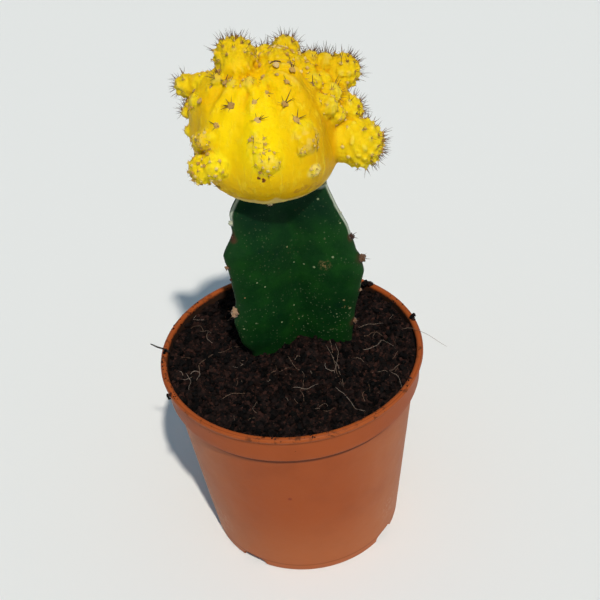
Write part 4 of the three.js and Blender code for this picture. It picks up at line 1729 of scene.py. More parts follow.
    def build_crumbs(self, draw: Random) -> None:
        """Loose crumbs, most of them small: rough balls, each point moved by a random step.

        Args:
            draw: the random numbers.
        """
        x, y = self.scatter(draw, self.crumb_count, self.top_radius - self.wall_gap)
        size = self.crumb_smallest + draw.uniform(0.0, 1.0, len(x)) ** self.crumb_rarity
        centres = np.stack([x, y, self.height(x, y) + 0.25 * size], axis=-1)
        clumps, dust = np.array(self.rim_clumps), self.rim_dust(draw)
        centres = np.concatenate([centres, clumps[:, :3], dust])
        size = np.concatenate([size, clumps[:, 3], draw.uniform(*self.dust_sizes, len(dust))])
        count = len(centres)
        outward = unit(draw.normal(0.0, 1.0, (count, 3)) + 0.01 * UP)
        points, faces = cushions(centres, outward, size, 0.75, 3, 5)
        size_at_points = np.repeat(size, len(points) // count)[:, None]
        points += self.crumb_rough * size_at_points * draw.normal(0.0, 1.0, points.shape)
        crumbs = make_piece("peat_crumbs", points, faces, self.crumb_sharp)
        tone = draw.uniform(0.0, 1.0, count) * np.clip(1.15 - 0.6 * size, 0.35, 1.0)
        tag_points(crumbs, Tag.TONE, np.repeat(tone, len(points) // count))
        hand_over(crumbs, PeatCrumb().material("peat_crumbs", True), Slot.PEAT)

    def rim_dust(self, draw: Random) -> Array:
        """Patches of dust on the round top of the pot's rim.

        The rim's bead is a circle in section: its height is that of its middle and the root of
        1 less the square of the share of the radius across it.

        Args:
            draw: the random numbers.

        Returns:
            The places of the specks.
        """
        azimuth = draw.uniform(0.0, 360.0, self.dust_count)
        dust = towards(azimuth) * draw.uniform(*self.dust_band, self.dust_count)[:, None]
        middle, height, radius = self.bead
        away = np.abs(np.hypot(dust[:, 0], dust[:, 1]) - middle) / radius
        dust[:, 2] = height + radius * np.sqrt(np.clip(1 - away**2, 0.0, 1.0))
        return dust[lattice_noise(dust, self.dust_patch, 8) > 0.05]

    def lie_on_bed(self, flat: Array, lift: Array) -> Array:
        """Puts level paths on the bed, raised by a lift and by the crumbs under them."""
        z = self.broad_height(flat[..., 0], flat[..., 1]) + 0.55 + lift
        return np.concatenate([flat, z[..., None]], axis=-1)

    def loose_fibres(self, draw: Random) -> Array:
        """Level curves scattered on the bed, whose headings drift at random from step to step.

        Args:
            draw: the random numbers.

        Returns:
            Their stations, of shape (fibres, stations, 2).
        """
        x, y = self.scatter(draw, self.fibre_count, self.top_radius - 4.0)
        steps = (len(x), self.fibre_stations - 1)
        length = draw.uniform(2.0, 8.0, len(x)) / steps[1]
        drift = draw.normal(0.0, 0.45, steps) + draw.normal(0.0, 0.16, (len(x), 1))
        heading = draw.uniform(0.0, 2 * np.pi, (len(x), 1)) + np.cumsum(drift, axis=1) * 0.7
        step = length[:, None, None] * np.stack([np.cos(heading), np.sin(heading)], axis=-1)
        moved = np.pad(np.cumsum(step, axis=1), ((0, 0), (1, 0), (0, 0)))
        path = np.stack([x, y], axis=-1)[:, None] + moved
        far = np.hypot(path[..., 0], path[..., 1]) / (self.top_radius - 0.8)
        return path / np.maximum(far, 1.0)[..., None]

    def build_fibres(self, draw: Random) -> None:
        """Root fibres: loose ones, larger ones at listed places, and two that cross the rim.

        Args:
            draw: the random numbers.
        """
        loose = self.loose_fibres(draw)
        share = np.linspace(0.0, 1.0, self.fibre_stations)
        laid = np.array([self.smooth_path(stops, share) for stops in self.laid_fibres])
        spots = np.pad(laid, ((0, 0), (0, 0), (0, 1)))
        laid += 0.35 * np.stack([lattice_noise(spots, 2.5, seed) for seed in (1, 2)], axis=-1)
        flat = np.concatenate([loose, laid])
        lift = 0.35 * np.sin(np.pi * share) * draw.uniform(0.2, 1.6, (len(flat), 1))
        crossing = np.array([self.smooth_path(stops, share) for stops in self.over_rim])
        paths = np.concatenate([self.lie_on_bed(flat, lift), crossing])
        thin = draw.uniform(0.045, 0.085, len(loose))
        thick = np.concatenate([thin, np.full(len(laid), self.laid_thickness), self.rim_thickness])
        radii = thick[:, None] * (1.0 - 0.5 * share[None] ** 2)
        tones = [draw.uniform(0.1, 1.0, len(loose)) ** 1.4, draw.uniform(0.35, 0.85, len(laid))]
        tones, fibre = np.concatenate([*tones, self.rim_tones]), RootFibre().material()
        strand_piece("root_fibres", paths, radii, tones, 4, fibre, Slot.ROOT_FIBRES)

    @staticmethod
    def smooth_path(stops: Sequence[Sequence[float]], share: Array) -> Array:
        """A curve through stops: the blend (Catmull-Rom) of the four stops round each place.

        Args:
            stops: the stops, of two or three coordinates each.
            share: how far along the curve each station lies.

        Returns:
            The stations.
        """
        stops = np.array(stops)
        padded = np.concatenate([2 * stops[:1] - stops[1:2], stops, 2 * stops[-1:] - stops[-2:-1]])
        place = share * (len(stops) - 1)
        index = np.minimum(place.astype(int), len(stops) - 2)
        t = (place - index)[:, None]
        a, b, c, d = (padded[index + step] for step in range(4))
        curved = (2 * a - 5 * b + 4 * c - d) * t**2 + (3 * b - a - 3 * c + d) * t**3
        return 0.5 * (2 * b + (c - a) * t + curved)


class Areole(NamedTuple):
    """A spine cushion on the globe: where it stands, its size, its felt's tone, its spines."""

    rib: float
    latitude: float
    size: float
    tone: float
    spines: int


FRONT_AREOLES = tuple(itertools.starmap(Areole, (
    (-0.8, 50.3, 1.2, 0.3, 5), (-0.97, 32.6, 1.0, 0.45, 4), (-0.06, 40.9, 1.1, 0.6, 5),
    (0.7, 49.5, 1.15, 0.35, 5), (1.52, 63.9, 1.0, 0.45, 4), (-0.14, 56.1, 0.8, 0.5, 4),
    (-1.47, 62.5, 0.9, 0.4, 5), (-2.14, 37.1, 0.9, 0.3, 5), (0.79, 35.0, 0.95, 0.5, 6),
    (1.84, 46.1, 0.95, 0.15, 4), (-1.16, 21.2, 0.5, 0.4, 3), (-0.21, 26.5, 0.6, 0.5, 4),
    (-1.75, 52.5, 0.7, 0.5, 4), (-0.34, 70.1, 0.8, 0.6, 4), (-2.73, 71.3, 0.7, 0.5, 4),
    (-1.86, 76.3, 0.6, 0.6, 3), (0.33, 64.0, 0.7, 0.45, 3), (0.01, -50.5, 0.8, 1.0, 5),
    (0.6, 79, 0.7, 0.5, 4), (1.1, 71, 0.6, 0.5, 3), (-2.0, 10.6, 0.6, -0.2, 4),
    (-1.62, 40.5, 0.85, 0.5, 4), (-1.95, 28, 0.65, 0.4, 4), (1.1, 61.5, 1.0, 0.45, 5),
)))
BACK_AREOLES = tuple(itertools.starmap(Areole, (
    (2, 67, 0.9, 0.4, 5), (2, -24, 0.8, 0.4, 4), (3, 57, 1, 0.4, 5), (3, 20, 1, 0.3, 5),
    (3, -6, 1, 0.4, 5), (4, 72, 1, 0.5, 5), (4, 42, 1.1, 0.4, 5), (4, 8, 1, 0.3, 5),
    (4, -20, 0.9, 0.4, 4), (5, 70, 0.9, 0.5, 5), (5, 44, 1.1, 0.3, 5), (5, 4, 1, 0.4, 5),
    (5, -22, 0.9, 0.4, 4), (6, 62.5, 1, 0.3, 5), (6, 9, 1, 0.4, 5), (6, -14, 0.9, 0.4, 4),
    (7, -22, 0.8, 0.4, 4),
)))


class Offset(NamedTuple):
    """A young plant on the globe: where it stands, its radius, and how it stands off."""

    rib: float
    latitude: float
    radius: float
    rise: float
    upturn: float
    plain: bool = False


FRONT_OFFSETS = tuple(itertools.starmap(Offset, (
    (-1.15, -4, 4.2, 1.2, 0), (-1.15, 19, 2.7, 0.4, 0), (-0.05, 25, 2.4, -1.1, 0),
    (0.08, 9, 3.9, -1.9, 0), (0.88, 17, 3.7, -1.5, 0), (0.92, -10, 2.0, -0.5, 0),
    (0.6, 76, 1.4, 0.2, 0), (-0.6, 73, 2.1, 0.2, 0),
)))
RIGHT_OFFSETS = tuple(itertools.starmap(Offset, (
    (1.7, 28, 3.1, 0.8, 0), (2.1, 28, 3, 2, 0.1), (2.2, 7, 4.9, 3.6, 0.1), (1.95, -9, 7, 6.6, 0),
    (2.75, 38, 2.3, 1.8, 0.1),
)))
LEFT_OFFSETS = tuple(itertools.starmap(Offset, (
    (-2.4, 42, 3.9, 1.2, 0), (-2.4, 40, 3.2, 7, -0.6), (-2.25, 17, 1.9, 2.2, 0.1),
)))
CROWN_OFFSETS = tuple(itertools.starmap(Offset, (
    (-2.8, 68, 5.3, 0.5, 1.5), (-2.8, 68, 5.6, 4.8, 1.5), (3.15, 63, 5.2, 0.6, 0.3),
    (3.3, 50, 3.9, 5.2, 0.5), (2.95, 50, 2.5, 3, 0.2), (2.75, 42, 2.8, 4.8, 0.2),
    (2.62, 34, 2.5, 7, 0.3), (2.55, 21, 5.1, 8.4, 0.3),
)))
MOUNDS = tuple(itertools.starmap(Offset, (
    (3.08, 66, 5.7, 0, 0.5), (2.85, 56, 4.5, 1, 0.3), (2.6, 48, 4, 0.3, 0.2), (2.2, 44, 3.4, 0, 0),
    (2.4, 33, 3.6, 1, 0), (1.69, 33, 2.5, 0, 0), (-0.93, 1, 4.2, -0.9, 0), (-3.1, 62, 4, 0, 0.6),
    (-1.35, 14, 3.0, -0.8, 0), (0.9, 24, 3.2, -1.6, 0), (1.9, 16, 3.0, 0.5, 0),
    (-1.9, 66, 2.6, 0, 0), (1.6, 70, 2.8, -0.3, 0.2), (1.95, -7, 6.5, 3.9, 0),
    (-1.95, 35, 2.2, 1.8, 0), (-2.3, 24, 1.8, 2.0, 0), (-1.8, 60, 2.0, 2.7, 0),
    (-2.0, 8, 1.6, 0.4, 0), (-1.3, 66, 1.7, 1.3, 0),
)))
FLESH = tuple(itertools.starmap(Offset, (
    (2.3, 20, 3.4, 3.2, 0.3, True), (-3.0, 66, 5.0, 2.6, 1.5, True),
    (-2.4, 41, 3.4, 3.4, -0.4, True), (-2.3, 72, 4.7, 2.7, 1.8, True),
)))
BACK_OFFSETS = tuple(itertools.starmap(Offset, (
    (3.1, 24, 3.4, 2.2, 0.1), (3.3, -4, 3.9, 3, 0.1), (3.85, 40, 4.3, 2.6, 0.3),
    (4.05, 10, 2.6, 0.8, 0), (4.4, 24, 3.6, 1.6, 0.1), (4.75, 52, 3.4, 1.4, 0.3),
    (4.65, -6, 4.4, 2.2, 0), (5, 26, 2.4, 0.6, 0), (5.3, 8, 3, 1, 0.1),
)))
RIB_SPACING = 16.7
DEGREES_PER_MILLIMETRE = 2.7


def with_budlets(buds: Sequence[Offset], count: int, seed: int) -> tuple[Offset, ...]:
    """The buds, each with some small ones scattered on and beside it.

    Args:
        buds: the buds.
        count: how many small ones each gets.
        seed: picks another set of random numbers.

    Returns:
        The buds, and after them the small ones.
    """
    draw = np.random.default_rng(seed)
    small = []
    for bud in buds:
        for turn in draw.uniform(0.0, 2.0 * np.pi, count):
            reach = draw.uniform(0.45, 0.95) * bud.radius
            across = reach * np.cos(turn) / RIB_SPACING / np.cos(np.radians(bud.latitude))
            latitude = bud.latitude + DEGREES_PER_MILLIMETRE * reach * np.sin(turn)
            radius = draw.uniform(0.9, 1.5)
            small.append(Offset(bud.rib + across, latitude, radius, max(bud.rise, -0.3), 0.0))
    return (*buds, *small)


@dataclass
class Scion:
    """The ribbed globe with its offsets, cushions and spines, grown as one plant."""

    centre: Three = (-1.3, 10.0, 145.6)
    radius: float = 21.3
    half_height: float = 19.5
    base: float = 130.3
    ribs: int = 8
    rib_turn: float = -3.0
    groove: float = 1.7
    belly: float = 2.0
    belly_towards: Three = (0.76, -0.2, -0.62)
    belly_spread: float = 0.16
    shoulders: tuple[Four, ...] = (
        (-2.2, 69.0, 3.4, 4.2), (-2.3, 54.0, 2.6, 4.4), (-2.05, 44.0, 2.0, 4.6), (-2.2, 26.0, 2.6, 4.8),
        (2.3, 73.0, 3.6, 4.4), (1.4, 66.0, 2.6, 4.2), (1.5, 56.0, 1.4, 4.0), (-1.2, 62.0, 1.2, 4.0),
        (1.5, 43.0, 1.9, 4.6), (1.5, 27.0, 1.2, 4.6), (-1.5, 40.0, 2.0, 4.6), (-1.5, 24.0, 1.3, 4.6),
    )
    columns: int = 256
    rows: int = 128
    pole_gap: float = 1.5
    crown_ribs: int = 16
    crown_rib_height: float = 0.3
    swell: float = 0.12
    tubercles_at_none: float = 1.6
    tubercles_per_millimetre: float = 1.2
    ribs_per_millimetre: float = 2.1
    rib_swell: float = 0.045
    ribbed_from: Two = (5.0, 35.0)
    ball_columns: int = 72
    ball_rows: int = 44
    ball_gap: float = 3.0
    neck_rows: int = 24
    neck_share: float = 0.90
    neck_from: float = 0.55
    root_depth: float = 2.0
    voxel: float = 0.36
    fillet_passes: int = 5
    bud_passes: int = 22
    bud_edge: Two = (1.6, -0.4)
    crease_reach: int = 14
    crease_spread: int = 3
    lumps: tuple[Layer, ...] = ((0.30, 3.6, 3), (0.2, 1.9, 4))
    knobbles: tuple[Layer, ...] = ((0.5, 1.45, 6),)
    wrinkles: tuple[Layer, ...] = ((0.08, 1.7, 1), (0.05, 0.9, 2))
    buds: tuple[Offset, ...] = FRONT_OFFSETS[1:5]
    pale: Offset = FRONT_OFFSETS[5]
    offsets: tuple[Offset, ...] = (
        with_budlets(FRONT_OFFSETS[1:5], 6, 3) + FRONT_OFFSETS[:1] + FRONT_OFFSETS[5:]
        + RIGHT_OFFSETS + LEFT_OFFSETS + CROWN_OFFSETS + BACK_OFFSETS + MOUNDS + FLESH
    )
    areoles: tuple[Areole, ...] = FRONT_AREOLES + BACK_AREOLES
    cork_streaks: tuple[Three, ...] = (
        (0.94, -26.5, 1.9), (0.77, -24.4, 1.7), (1.12, -30.0, 1.8), (0.6, -27.5, 1.2),
    )
    dead_spots: tuple[Three, ...] = (
        (-0.03, -5.6, 0.6), (-0.1, -4.2, 0.5), (-0.04, -7.2, 0.4), (-2.0, 10.6, 0.8),
        (0.36, 61.0, 0.45), (-1.17, 14.5, 0.4), (-1.07, 10.4, 0.4), (-0.35, 33, 0.35),
        (1.75, 22.0, 0.5),
    )
    fold_place: Two = (1.6, 76.0)
    fold_facing: Three = (0.0, -0.5, 0.86)
    fold_size: float = 1.05
    fold_tone: float = 0.7
    long_spines: tuple[tuple[int, float, float], ...] = (
        (0, -50.0, 3.6), (0, -25.0, 3.2), (0, 30.0, 3.0), (1, 10.0, 3.0), (2, 170.0, 4.0), (2, 150.0, 3.0),
        (3, 140.0, 5.2), (3, 175.0, 3.6), (4, 140.0, 5.2), (4, 170.0, 3.0), (8, 180.0, 3.5), (8, 120.0, 3.4),
        (9, 160.0, 4.0), (6, 60.0, 3.6), (17, -90.0, 2.4), (17, -60.0, 2.0), (17, -125.0, 2.0),
    )

    @property
    def size(self) -> Array:
        """The half sizes of the globe's even form."""
        return np.array([self.radius, self.radius, self.half_height])

    def place(self, rib: float, latitude: float) -> tuple[Array, Array]:
        """A point on the globe's even outer form, and the direction that faces out there.

        The form is a ball pressed flat, so the direction is that of the point's coordinates,
        each over the square of its half size.

        Args:
            rib: the azimuth, counted in ribs from the front.
            latitude: the angle above the level, in degrees.

        Returns:
            The point and the unit vector.
        """
        angle = np.radians(latitude)
        level = towards(np.array(self.rib_turn + 360.0 / self.ribs * rib)) * np.cos(angle)
        ray = level + UP * np.sin(angle)
        point = ray / np.sqrt(np.sum(ray**2 / self.size**2))
        return point + np.array(self.centre), unit(point / self.size**2)

    def globe_skin(self) -> Skin:
        """The globe.

        A ball's radius is cut between the ribs by the cube of a sine of the azimuth, and
        swollen low on one side by an exponential of the angle from there. The lower part is
        pressed flat at the graft.

        Returns:
            The points and faces.
        """
        azimuth = np.linspace(0.0, 360.0, self.columns, endpoint=False)
        polar = np.radians(np.linspace(180.0 - self.pole_gap, self.pole_gap, self.rows))
        polar = polar[:, None, None]
        facing = np.sin(polar) * towards(azimuth + self.rib_turn)[None] + UP * np.cos(polar)
        between = np.abs(np.sin(np.radians(self.ribs / 2 * azimuth))) ** 3
        high = facing[..., 2]
        fade = np.sqrt(np.maximum(1 - high**2, 0.0)) * eased(-0.7, 0.2, high)
        belly = np.exp((facing @ np.array(self.belly_towards) - 1) / self.belly_spread)
        scale = 1 - self.groove / self.radius * between * fade + self.belly / self.radius * belly
        rings = np.array(self.centre) + facing * self.size * scale[..., None]
        crown = eased(0.6, 0.8, high) * eased(1.0, 0.97, high)
        bent = np.radians(self.crown_ribs * azimuth) + 3.0 * high + 1.6 * lattice_noise(rings, 6.0, 11)
        ribbed = np.cos(bent) * crown * self.crown_rib_height
        rings += facing * (self.chins(rings) + self.rises(rings) + ribbed)[..., None]
        rings[..., 2] = np.maximum(rings[..., 2], self.base)
        low = np.array([[*self.centre[:2], self.base]])
        top = np.array([[*self.centre[:2], self.centre[2] + self.half_height]])
        return closed_skins(rings[None], low, top)

    def chins(self, points: Array) -> Array:
        """Low swellings under the cushions of the ribs, with a dip above each.

        Each is a bell curve, less the hyperbolic tangent of the height over the cushion.

        Args:
            points: places on the globe.

        Returns:
            How far each place moves outwards.
        """
        total = np.zeros(points.shape[:-1])
        for areole in self.areoles:
            point, outward = self.place(areole.rib, areole.latitude)
            up = (points - point) @ axes_across(outward)[1]
            wide = bell(points, point, 2.9 * areole.size)
            total += areole.size * wide * (0.5 - 0.4 * np.tanh(up / 1.1))
        return total

    def rises(self, points: Array) -> Array:
        """The shoulders that lead up to the crown offsets: each falls off as a bell curve."""
        places = ((self.place(rib, latitude)[0], *rest) for rib, latitude, *rest in self.shoulders)
        return sum(height * bell(points, place, width) for place, height, width in places)

    def offset_frame(self, offset: Offset) -> tuple[Array, Array, Array]:
        """An offset's middle, its direction, and the turn that takes +Y to that direction.

        Args:
            offset: the offset.

        Returns:
            The point, the unit vector and the matrix.
        """
        point, outward = self.place(offset.rib, offset.latitude)
        heading = unit(outward + UP * offset.upturn)
        turn = Vector((0.0, 1.0, 0.0)).rotation_difference(Vector(heading)).to_matrix()
        return point + heading * offset.rise, heading, np.array(turn)

    def tubercles(self, offset: Offset) -> tuple[int, int]:
        """How many tubercles stand round an offset, and how many rows it has."""
        around = round(self.tubercles_at_none + self.tubercles_per_millimetre * offset.radius)
        return around, around + 1

    @staticmethod
    def sway(offset: Offset, azimuth: Array, polar: Array) -> tuple[Array, Array]:
        """How far the tubercles stand out of their even order: slow sines round the offset.

        Args:
            offset: the offset.
            azimuth: angles round it, in radians.
            polar: angles from its direction, in radians.

        Returns:
            The steps round it and down it, in radians.
        """
        phase = 2.3 * offset.rib + 0.7 * offset.latitude
        turned = 0.16 * np.sin(2 * azimuth + 2 * polar + phase) + 0.08 * np.sin(5 * azimuth - phase)
        return turned * np.sin(polar), 0.09 * np.sin(3 * azimuth + 2 * phase) * np.sin(polar)

    def offset_radius(self, offset: Offset, azimuth: Array, polar: Array) -> Array:
        """An offset's radius: swollen by the product of a wave round it and a wave down it.

        Ribs, a cosine of the azimuth, take the place of that wave on its lower half.

        Args:
            offset: the offset.
            azimuth: angles round it, in radians.
            polar: angles from its direction, in radians.

        Returns:
            The radii.
        """
        around, rows = self.tubercles(offset)
        turned, lowered = self.sway(offset, azimuth, polar)
        wave = np.cos(around * (azimuth + turned)) * np.cos(rows * (polar + lowered))
        wave = wave * (1.0 - 0.6 * eased(1.3, 2.2, polar))
        bump = np.where(wave > 0, np.maximum(wave, 0.0) ** 1.5 * 1.3, wave * 0.7)
        ribbed = np.cos(self.rib_count(offset) * (azimuth + turned))
        ribbed = ribbed * eased(0.9, 1.6, polar) * np.sin(polar)
        ribbed = ribbed * eased(*self.ribbed_from, offset.latitude)
        swell, more = (0.0, 1.7) if offset.plain else (self.swell, 1.0)
        bump = swell * np.sin(polar) ** 0.8 * bump
        return offset.radius * (1 + bump + self.rib_swell * (ribbed * more))

    def rib_count(self, offset: Offset) -> int:
        """How many ribs run down an offset's neck."""
        return round(self.ribs_per_millimetre * offset.radius)

    def offset_skins(self, offset: Offset) -> list[Skin]:
        """An offset's ball, and its neck where it stands off the globe.

        Args:
            offset: the offset.

        Returns:
            The points and faces of each.
        """
        centre, heading, turn = self.offset_frame(offset)
        azimuth = np.radians(np.linspace(0.0, 360.0, self.ball_columns, endpoint=False))
        polar = np.radians(np.linspace(self.ball_gap, 180.0 - self.ball_gap, self.ball_rows))
        grid_polar, grid_azimuth = np.meshgrid(polar, azimuth, indexing="ij")
        radius = self.offset_radius(offset, grid_azimuth, grid_polar)
        rings = centre + (across_axis(grid_azimuth, grid_polar) * radius[..., None]) @ turn.T
        ends = centre[None] + heading * offset.radius, centre[None] - heading * offset.radius
        skins = [closed_skins(rings[None], *ends)]
        if offset.rise > self.neck_from * offset.radius:
            skins.append(self.neck_skin(offset, azimuth))
        return skins

    def neck_skin(self, offset: Offset, azimuth: Array) -> Skin:
        """An offset's neck: a tube down into the globe, its low ribs a cosine of the azimuth.

        Args:
            offset: the offset.
            azimuth: the angles of its columns, in radians.

        Returns:
            The points and faces.
        """
        centre, _, turn = self.offset_frame(offset)
        ribbed = self.rib_swell * eased(*self.ribbed_from, offset.latitude)
        width = 1 + ribbed * np.cos(self.rib_count(offset) * azimuth)
        width = self.neck_share * offset.radius * width
        parts = [width * np.cos(azimuth), np.zeros_like(width), width * np.sin(azimuth)]
        down = np.linspace(0.0, -offset.rise - self.root_depth, self.neck_rows)
        along = down[:, None, None] * np.array([0.0, 1.0, 0.0])
        rings = centre + (np.stack(parts, axis=-1)[None] + along) @ turn.T
        return closed_skins(rings[None], rings[0].mean(0)[None], rings[-1].mean(0)[None])

    def offset_areoles(self, offset: Offset) -> tuple[Array, Array]:
        """The tops of an offset's tubercles and the directions that they face.

        Args:
            offset: the offset.

        Returns:
            The places and the unit vectors.
        """
        around, rows = self.tubercles(offset)
        centre, _, turn = self.offset_frame(offset)
        spots = [(0.0, 0.0)]
        for row in range(1, int(0.62 * rows) + 1):
            steps = range(row % 2, 2 * around, 2)
            spots += [(step * np.pi / around, row * np.pi / rows) for step in steps]
        azimuth, polar = np.array(spots).T
        turned, lowered = self.sway(offset, azimuth, polar)
        azimuth, polar = azimuth - turned, np.abs(polar - lowered)
        outward = across_axis(azimuth, polar) @ turn.T
        return centre + outward * self.offset_radius(offset, azimuth, polar)[:, None], outward

    def balls(self) -> tuple[Array, Array]:
        """The middles and radii of the offsets."""
        centres = np.array([self.offset_frame(offset)[0] for offset in self.offsets])
        return centres, np.array([offset.radius for offset in self.offsets])

    def globe_gap(self, points: Array) -> Array:
        """About how far places lie outside the globe's even form."""
        away = (points - np.array(self.centre)) / self.size
        return (np.linalg.norm(away, axis=-1) - 1.0) * self.radius

    def open_areoles(self) -> tuple[Array, Array, Array, Array]:
        """The offsets' areoles that nothing covers, with their scale and how free they stand.

        Returns:
            The places, the directions, the scales, and how free each stands from 0 to 1.
        """
        centres, radii = self.balls()
        roots, outward, scale, free_share = [], [], [], []
        for i, offset in enumerate(self.offsets):
            if offset.plain:
                continue
            places, facing = self.offset_areoles(offset)
            gaps = distance(places[:, None], centres) - radii[None]
            gaps[:, i] = 9.0
            free = (gaps.min(axis=1) > 0.15) & (self.globe_gap(places) > 0.3)
            roots.append(places[free])
            outward.append(facing[free])
            stands = eased(0.8, 3.0, offset.rise)
            size = np.clip(offset.radius / 5.0, 0.65, 1.1) + 0.4 * (1.0 - stands)
            scale.append(np.full(int(free.sum()), size))
            free_share.append(stands * eased(-0.2, 0.6, facing[free] @ self.offset_frame(offset)[1]))
        return tuple(np.concatenate(part) for part in (roots, outward, scale, free_share))

    def build(self) -> None:
        """Makes the scion."""
        self.build_body()
        self.build_globe_areoles()
        self.build_offset_areoles()

    def build_body(self) -> None:
        """One skin over the globe and its offsets, with fine wrinkles from noise."""
        skins = [self.globe_skin()]
        for offset in self.offsets:
            skins += self.offset_skins(offset)
        body = make_piece("globe_and_offsets", *join_skins(skins))
        wrap = body.modifiers.new("one_skin", "REMESH")
        wrap.mode = "VOXEL"
        wrap.voxel_size = self.voxel * MM
        apply_modifiers(body)
        mesh = body.data
        mesh.shade_smooth()
        points, edges, normals = points_of(mesh), edges_of(mesh), normals_of(mesh)
        fold = self.creases(points, normals, edges)[:, None]
        for _ in range(self.fillet_passes):
            points += (0.15 + 0.6 * fold) * (neighbour_mean(points, edges) - points)
        low_buds = self.low_buds(points)
        soft = low_buds[:, None] * np.maximum(fold, 0.3)
        for _ in range(self.bud_passes):
            points += soft * (neighbour_mean(points, edges) - points)
        # Painted shade in the folds, weaker on the low buds.
        crease_shade = self.creases(points, normals, edges) * (1.0 - 0.7 * low_buds)
        # Convex tips, which get painted highlights.
        tips = eased(0.25, 0.95, self.creases(points, -normals, edges))
        high = 0.35 + 0.65 * eased(148.0, 158.0, points[:, 2])
        lumps = relief(points, self.lumps, folded=True)
        lumps += self.near_offsets(points) * relief(points, self.knobbles, folded=True)
        points += normals * (relief(points, self.wrinkles) + high * (lumps - 0.2))[:, None]
        mesh.vertices.foreach_set("co", (points * MM).astype(np.float32).ravel())
        mesh.update()
        # Painted shade: the folds, and more weakly the grooves between the ribs.
        tag_points(body, Tag.CREASE_SHADE, np.maximum(crease_shade, 0.4 * self.grooves(points)))
        self.tag_colours(body, points, tips)
        hand_over(body, ScionSkin().material(), Slot.SCION_SKIN, Part.SCION)

    def creases(self, points: Array, normals: Array, edges: Array) -> Array:
        """How deep in a fold each point lies: its neighbours' mean stands out past it.

        Args:
            points: the mesh's points.
            normals: the directions that they face.
            edges: the pairs of points that the edges join.

        Returns:
            A share for each point.
        """
        smooth = points
        for _ in range(self.crease_reach):
            smooth = neighbour_mean(smooth, edges)
        hollow = np.sum((smooth - points) * normals, axis=1)
        for _ in range(self.crease_spread):
            hollow = neighbour_mean(hollow, edges)
        return eased(0.015, 0.3, hollow)

    def grooves(self, points: Array) -> Array:
        """How far points lie in a groove between the ribs: the cube of a sine of the azimuth.

        Args:
            points: the mesh's points.

        Returns:
            A share for each point.
        """
        away = (points - np.array(self.centre)) / self.radius
        azimuth = np.arctan2(away[:, 0], -away[:, 1]) - np.radians(self.rib_turn)
        between = np.abs(np.sin(self.ribs / 2 * azimuth)) ** 3
        return between * eased(-0.7, 0.2, away[:, 2]) * eased(1.0, 0.8, away[:, 2])

    def low_buds(self, points: Array) -> Array:
        """How near each point lies to one of the half-sunk buds on the front ribs."""
        places = ((self.offset_frame(bud)[0], bud.radius + np.array(self.bud_edge)) for bud in self.buds)
        return np.max([eased(*edge, distance(points, place)) for place, edge in places], axis=0)

    def near_offsets(self, points: Array) -> Array:
        """How near each point lies to the skin of an offset that has tubercles.

        Args:
            points: the mesh's points.

        Returns:
            A share for each point.
        """
        balls = (ball for *ball, offset in zip(*self.balls(), self.offsets) if not offset.plain)
        gaps = [distance(points, centre) - 1.12 * radius for centre, radius in balls]
        return eased(0.9, -0.3, np.min(gaps, axis=0))

    def tag_colours(self, body: Object, points: Array, tips: Array) -> None:
        """Marks the lemon offsets, with painted highlights that make their tips brightest, the cork patches
        and the graft edge.

        Args:
            body: the globe's object.
            points: its points.
            tips: how far each point stands out as a tip, which sets its painted highlight.
        """
        low_buds = self.low_buds(points)
        # Painted highlight: the lemon is stronger on the tips.
        lemon = self.near_offsets(points) * (0.75 + 0.25 * tips)
        tag_points(body, Tag.LEMON, lemon * (1.0 - 0.92 * low_buds))
        ragged, fine = relief(points, ((0.5, 1.6, 5),)), relief(points, ((0.3, 0.8, 8),))
        cork = np.zeros(len(points))
        for strength, spots in ((0.7, self.cork_streaks), (2.0, self.dead_spots)):
            for rib, latitude, radius in spots:
                away = distance(points, self.place(rib, latitude)[0])
                away = away + 0.6 * ragged * radius + fine
                cork = np.maximum(cork, strength * eased(1.3 * radius, 0.7 * radius, away))
        tag_points(body, Tag.CORK, cork)
        to_pale = distance(points, self.offset_frame(self.pale)[0])
        pale = eased(2.6, 1.5, to_pale + ragged)
        flaky = points[:, 2] + 2.4 * lattice_noise(points, 3.2, 7) + ragged
        seam = eased(self.base + 3.6, self.base + 2.4, flaky)
        tan = 0.2 * low_buds * eased(0.0, 0.6, lattice_noise(points, 1.2, 12))
        # The pale bud, the graft seam, tan mottling on the low buds, and a painted highlight on the tips.
        tag_points(body, Tag.PALE, np.clip(0.6 * pale + 0.5 * seam + 0.12 * tips + tan, 0.0, 1.0))

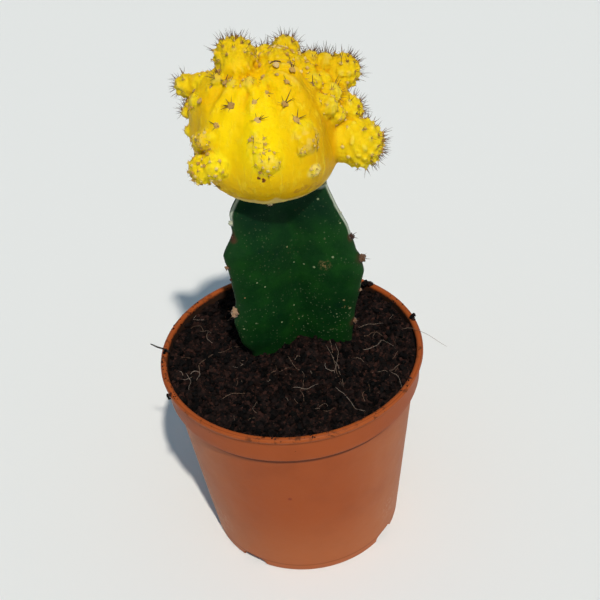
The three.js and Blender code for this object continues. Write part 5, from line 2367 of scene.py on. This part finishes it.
    def build_globe_areoles(self) -> None:
        """The cushions of the ribs with their curved dark spines.

        A long spine is straight, less a bend by the square of the way along.
        """
        draw = np.random.default_rng(21)
        places = [self.place(areole.rib, areole.latitude) for areole in self.areoles]
        places.append(self.place(*self.fold_place))
        roots, outward = (np.array(part) for part in zip(*places))
        size = np.array([*(areole.size for areole in self.areoles), self.fold_size])
        roots = roots + (0.4 * size + self.rises(roots))[:, None] * outward
        outward[-1] = unit(np.array(self.fold_facing))
        pads = cushions(roots, outward, size * draw.uniform(0.8, 1.0, len(size)), 0.42, 9, 18, 0.45)
        tones = [*(areole.tone for areole in self.areoles), self.fold_tone]
        cushion_piece("globe_cushions", pads, tones, Felt().material("globe_felt"), Slot.SCION_SKIN)
        made = [self.brow(roots[-1], outward[-1])]
        for areole, root, way in zip(self.areoles, roots, outward):
            count, reach = max(2, areole.spines - 1), areole.size
            fan = Fan(count, 1.1 * reach, 2.4 * reach, (1.2, 3.0), -0.18, 0.12)
            made.append(spine_paths(root[None], way[None], fan, draw, 7))
        side, above = axes_across(outward)
        share = np.linspace(0.0, 1.0, 7)[:, None]
        for index, angle, length in self.long_spines:
            turn, way = np.radians(angle), outward[index]
            level = np.cos(turn) * side[index] + np.sin(turn) * above[index]
            run = unit(level + 0.45 * way) * share - 0.14 * way * share**2
            width = 0.17 * (1.0 - 0.85 * share[:, 0] ** 1.4)
            made.append(((roots[index] + length * run)[None], width[None]))
        paths, widths = join_paths(made)
        tones = draw.uniform(0.0, 0.8, len(paths))
        horn = SpineHorn(root=(0.17, 0.065, 0.018), tip=(0.060, 0.026, 0.012))
        horn = horn.material("globe_spine_horn")
        strand_piece("globe_spines", paths, widths, tones, 5, horn, Slot.SPINES)

    @staticmethod
    def brow(root: Array, outward: Array) -> tuple[Array, Array]:
        """The dark fold over one areole: an arc of a flat ellipse, thickest in its middle.

        Args:
            root: the middle of the cushion.
            outward: the direction that it faces.

        Returns:
            Its path, and the radii at the stations.
        """
        side, above = axes_across(outward)
        angle = np.radians(np.linspace(15.0, 165.0, 7))[:, None]
        path = root + 1.7 * np.cos(angle) * side + 1.0 * np.sin(angle) * above + 0.35 * outward
        return path[None], (0.10 + 0.13 * np.sin(angle[:, 0]))[None]

    def build_offset_areoles(self) -> None:
        """The small woolly cushions of the offsets with their thin spines."""
        draw = np.random.default_rng(33)
        found = self.open_areoles()
        keep = draw.uniform(0.0, 1.0, len(found[0])) < 0.62 + 0.3 * found[3]
        roots, outward, scale, free_share = (part[keep] for part in found)
        radii = scale * draw.uniform(0.24, 0.52, len(roots))
        tones = draw.uniform(0.0, 0.75, len(roots)) + 0.3 * (1.0 - free_share)
        felt = Felt(brown=(0.30, 0.13, 0.02), tan=(0.60, 0.34, 0.06), cream=(0.84, 0.64, 0.20))
        pads = cushions(roots, outward, radii, 0.5, 4, 7)
        cushion_piece("offset_cushions", pads, tones, felt.material("offset_felt"), Slot.SCION_SKIN)
        made, tones = [], []
        for fan, chosen, low, high in (
            (Fan(4, 1.0, 3.2, (0.2, 1.4), 0.36, 0.09), free_share > 0.5, 0.0, 0.5),
            (Fan(3, 0.7, 1.8, (0.5, 2.4), -0.05, 0.075), free_share <= 0.5, 0.7, 1.1),
        ):
            made.append(spine_paths(roots[chosen], outward[chosen], fan, draw, 5))
            tones.append(draw.uniform(low, high, len(made[-1][0])))
        horn = SpineHorn(root=(0.20, 0.09, 0.025), tip=(0.040, 0.020, 0.012), pale=(0.42, 0.22, 0.05))
        horn, tones = horn.material("offset_spine_horn"), np.concatenate(tones)
        strand_piece("offset_spines", *join_paths(made), tones, 4, horn, Slot.SPINES)


def main() -> None:
    """Dresses the frame piece by piece."""
    logging.basicConfig(level=logging.INFO, format="%(message)s")
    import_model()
    Studio().build()
    stem = Stem()
    for assembly in (Pot(), Peat(stem), stem, Scion()):
        LOG.info("building %s", type(assembly).__name__)
        assembly.build()


if __name__ == "__main__":
    main()
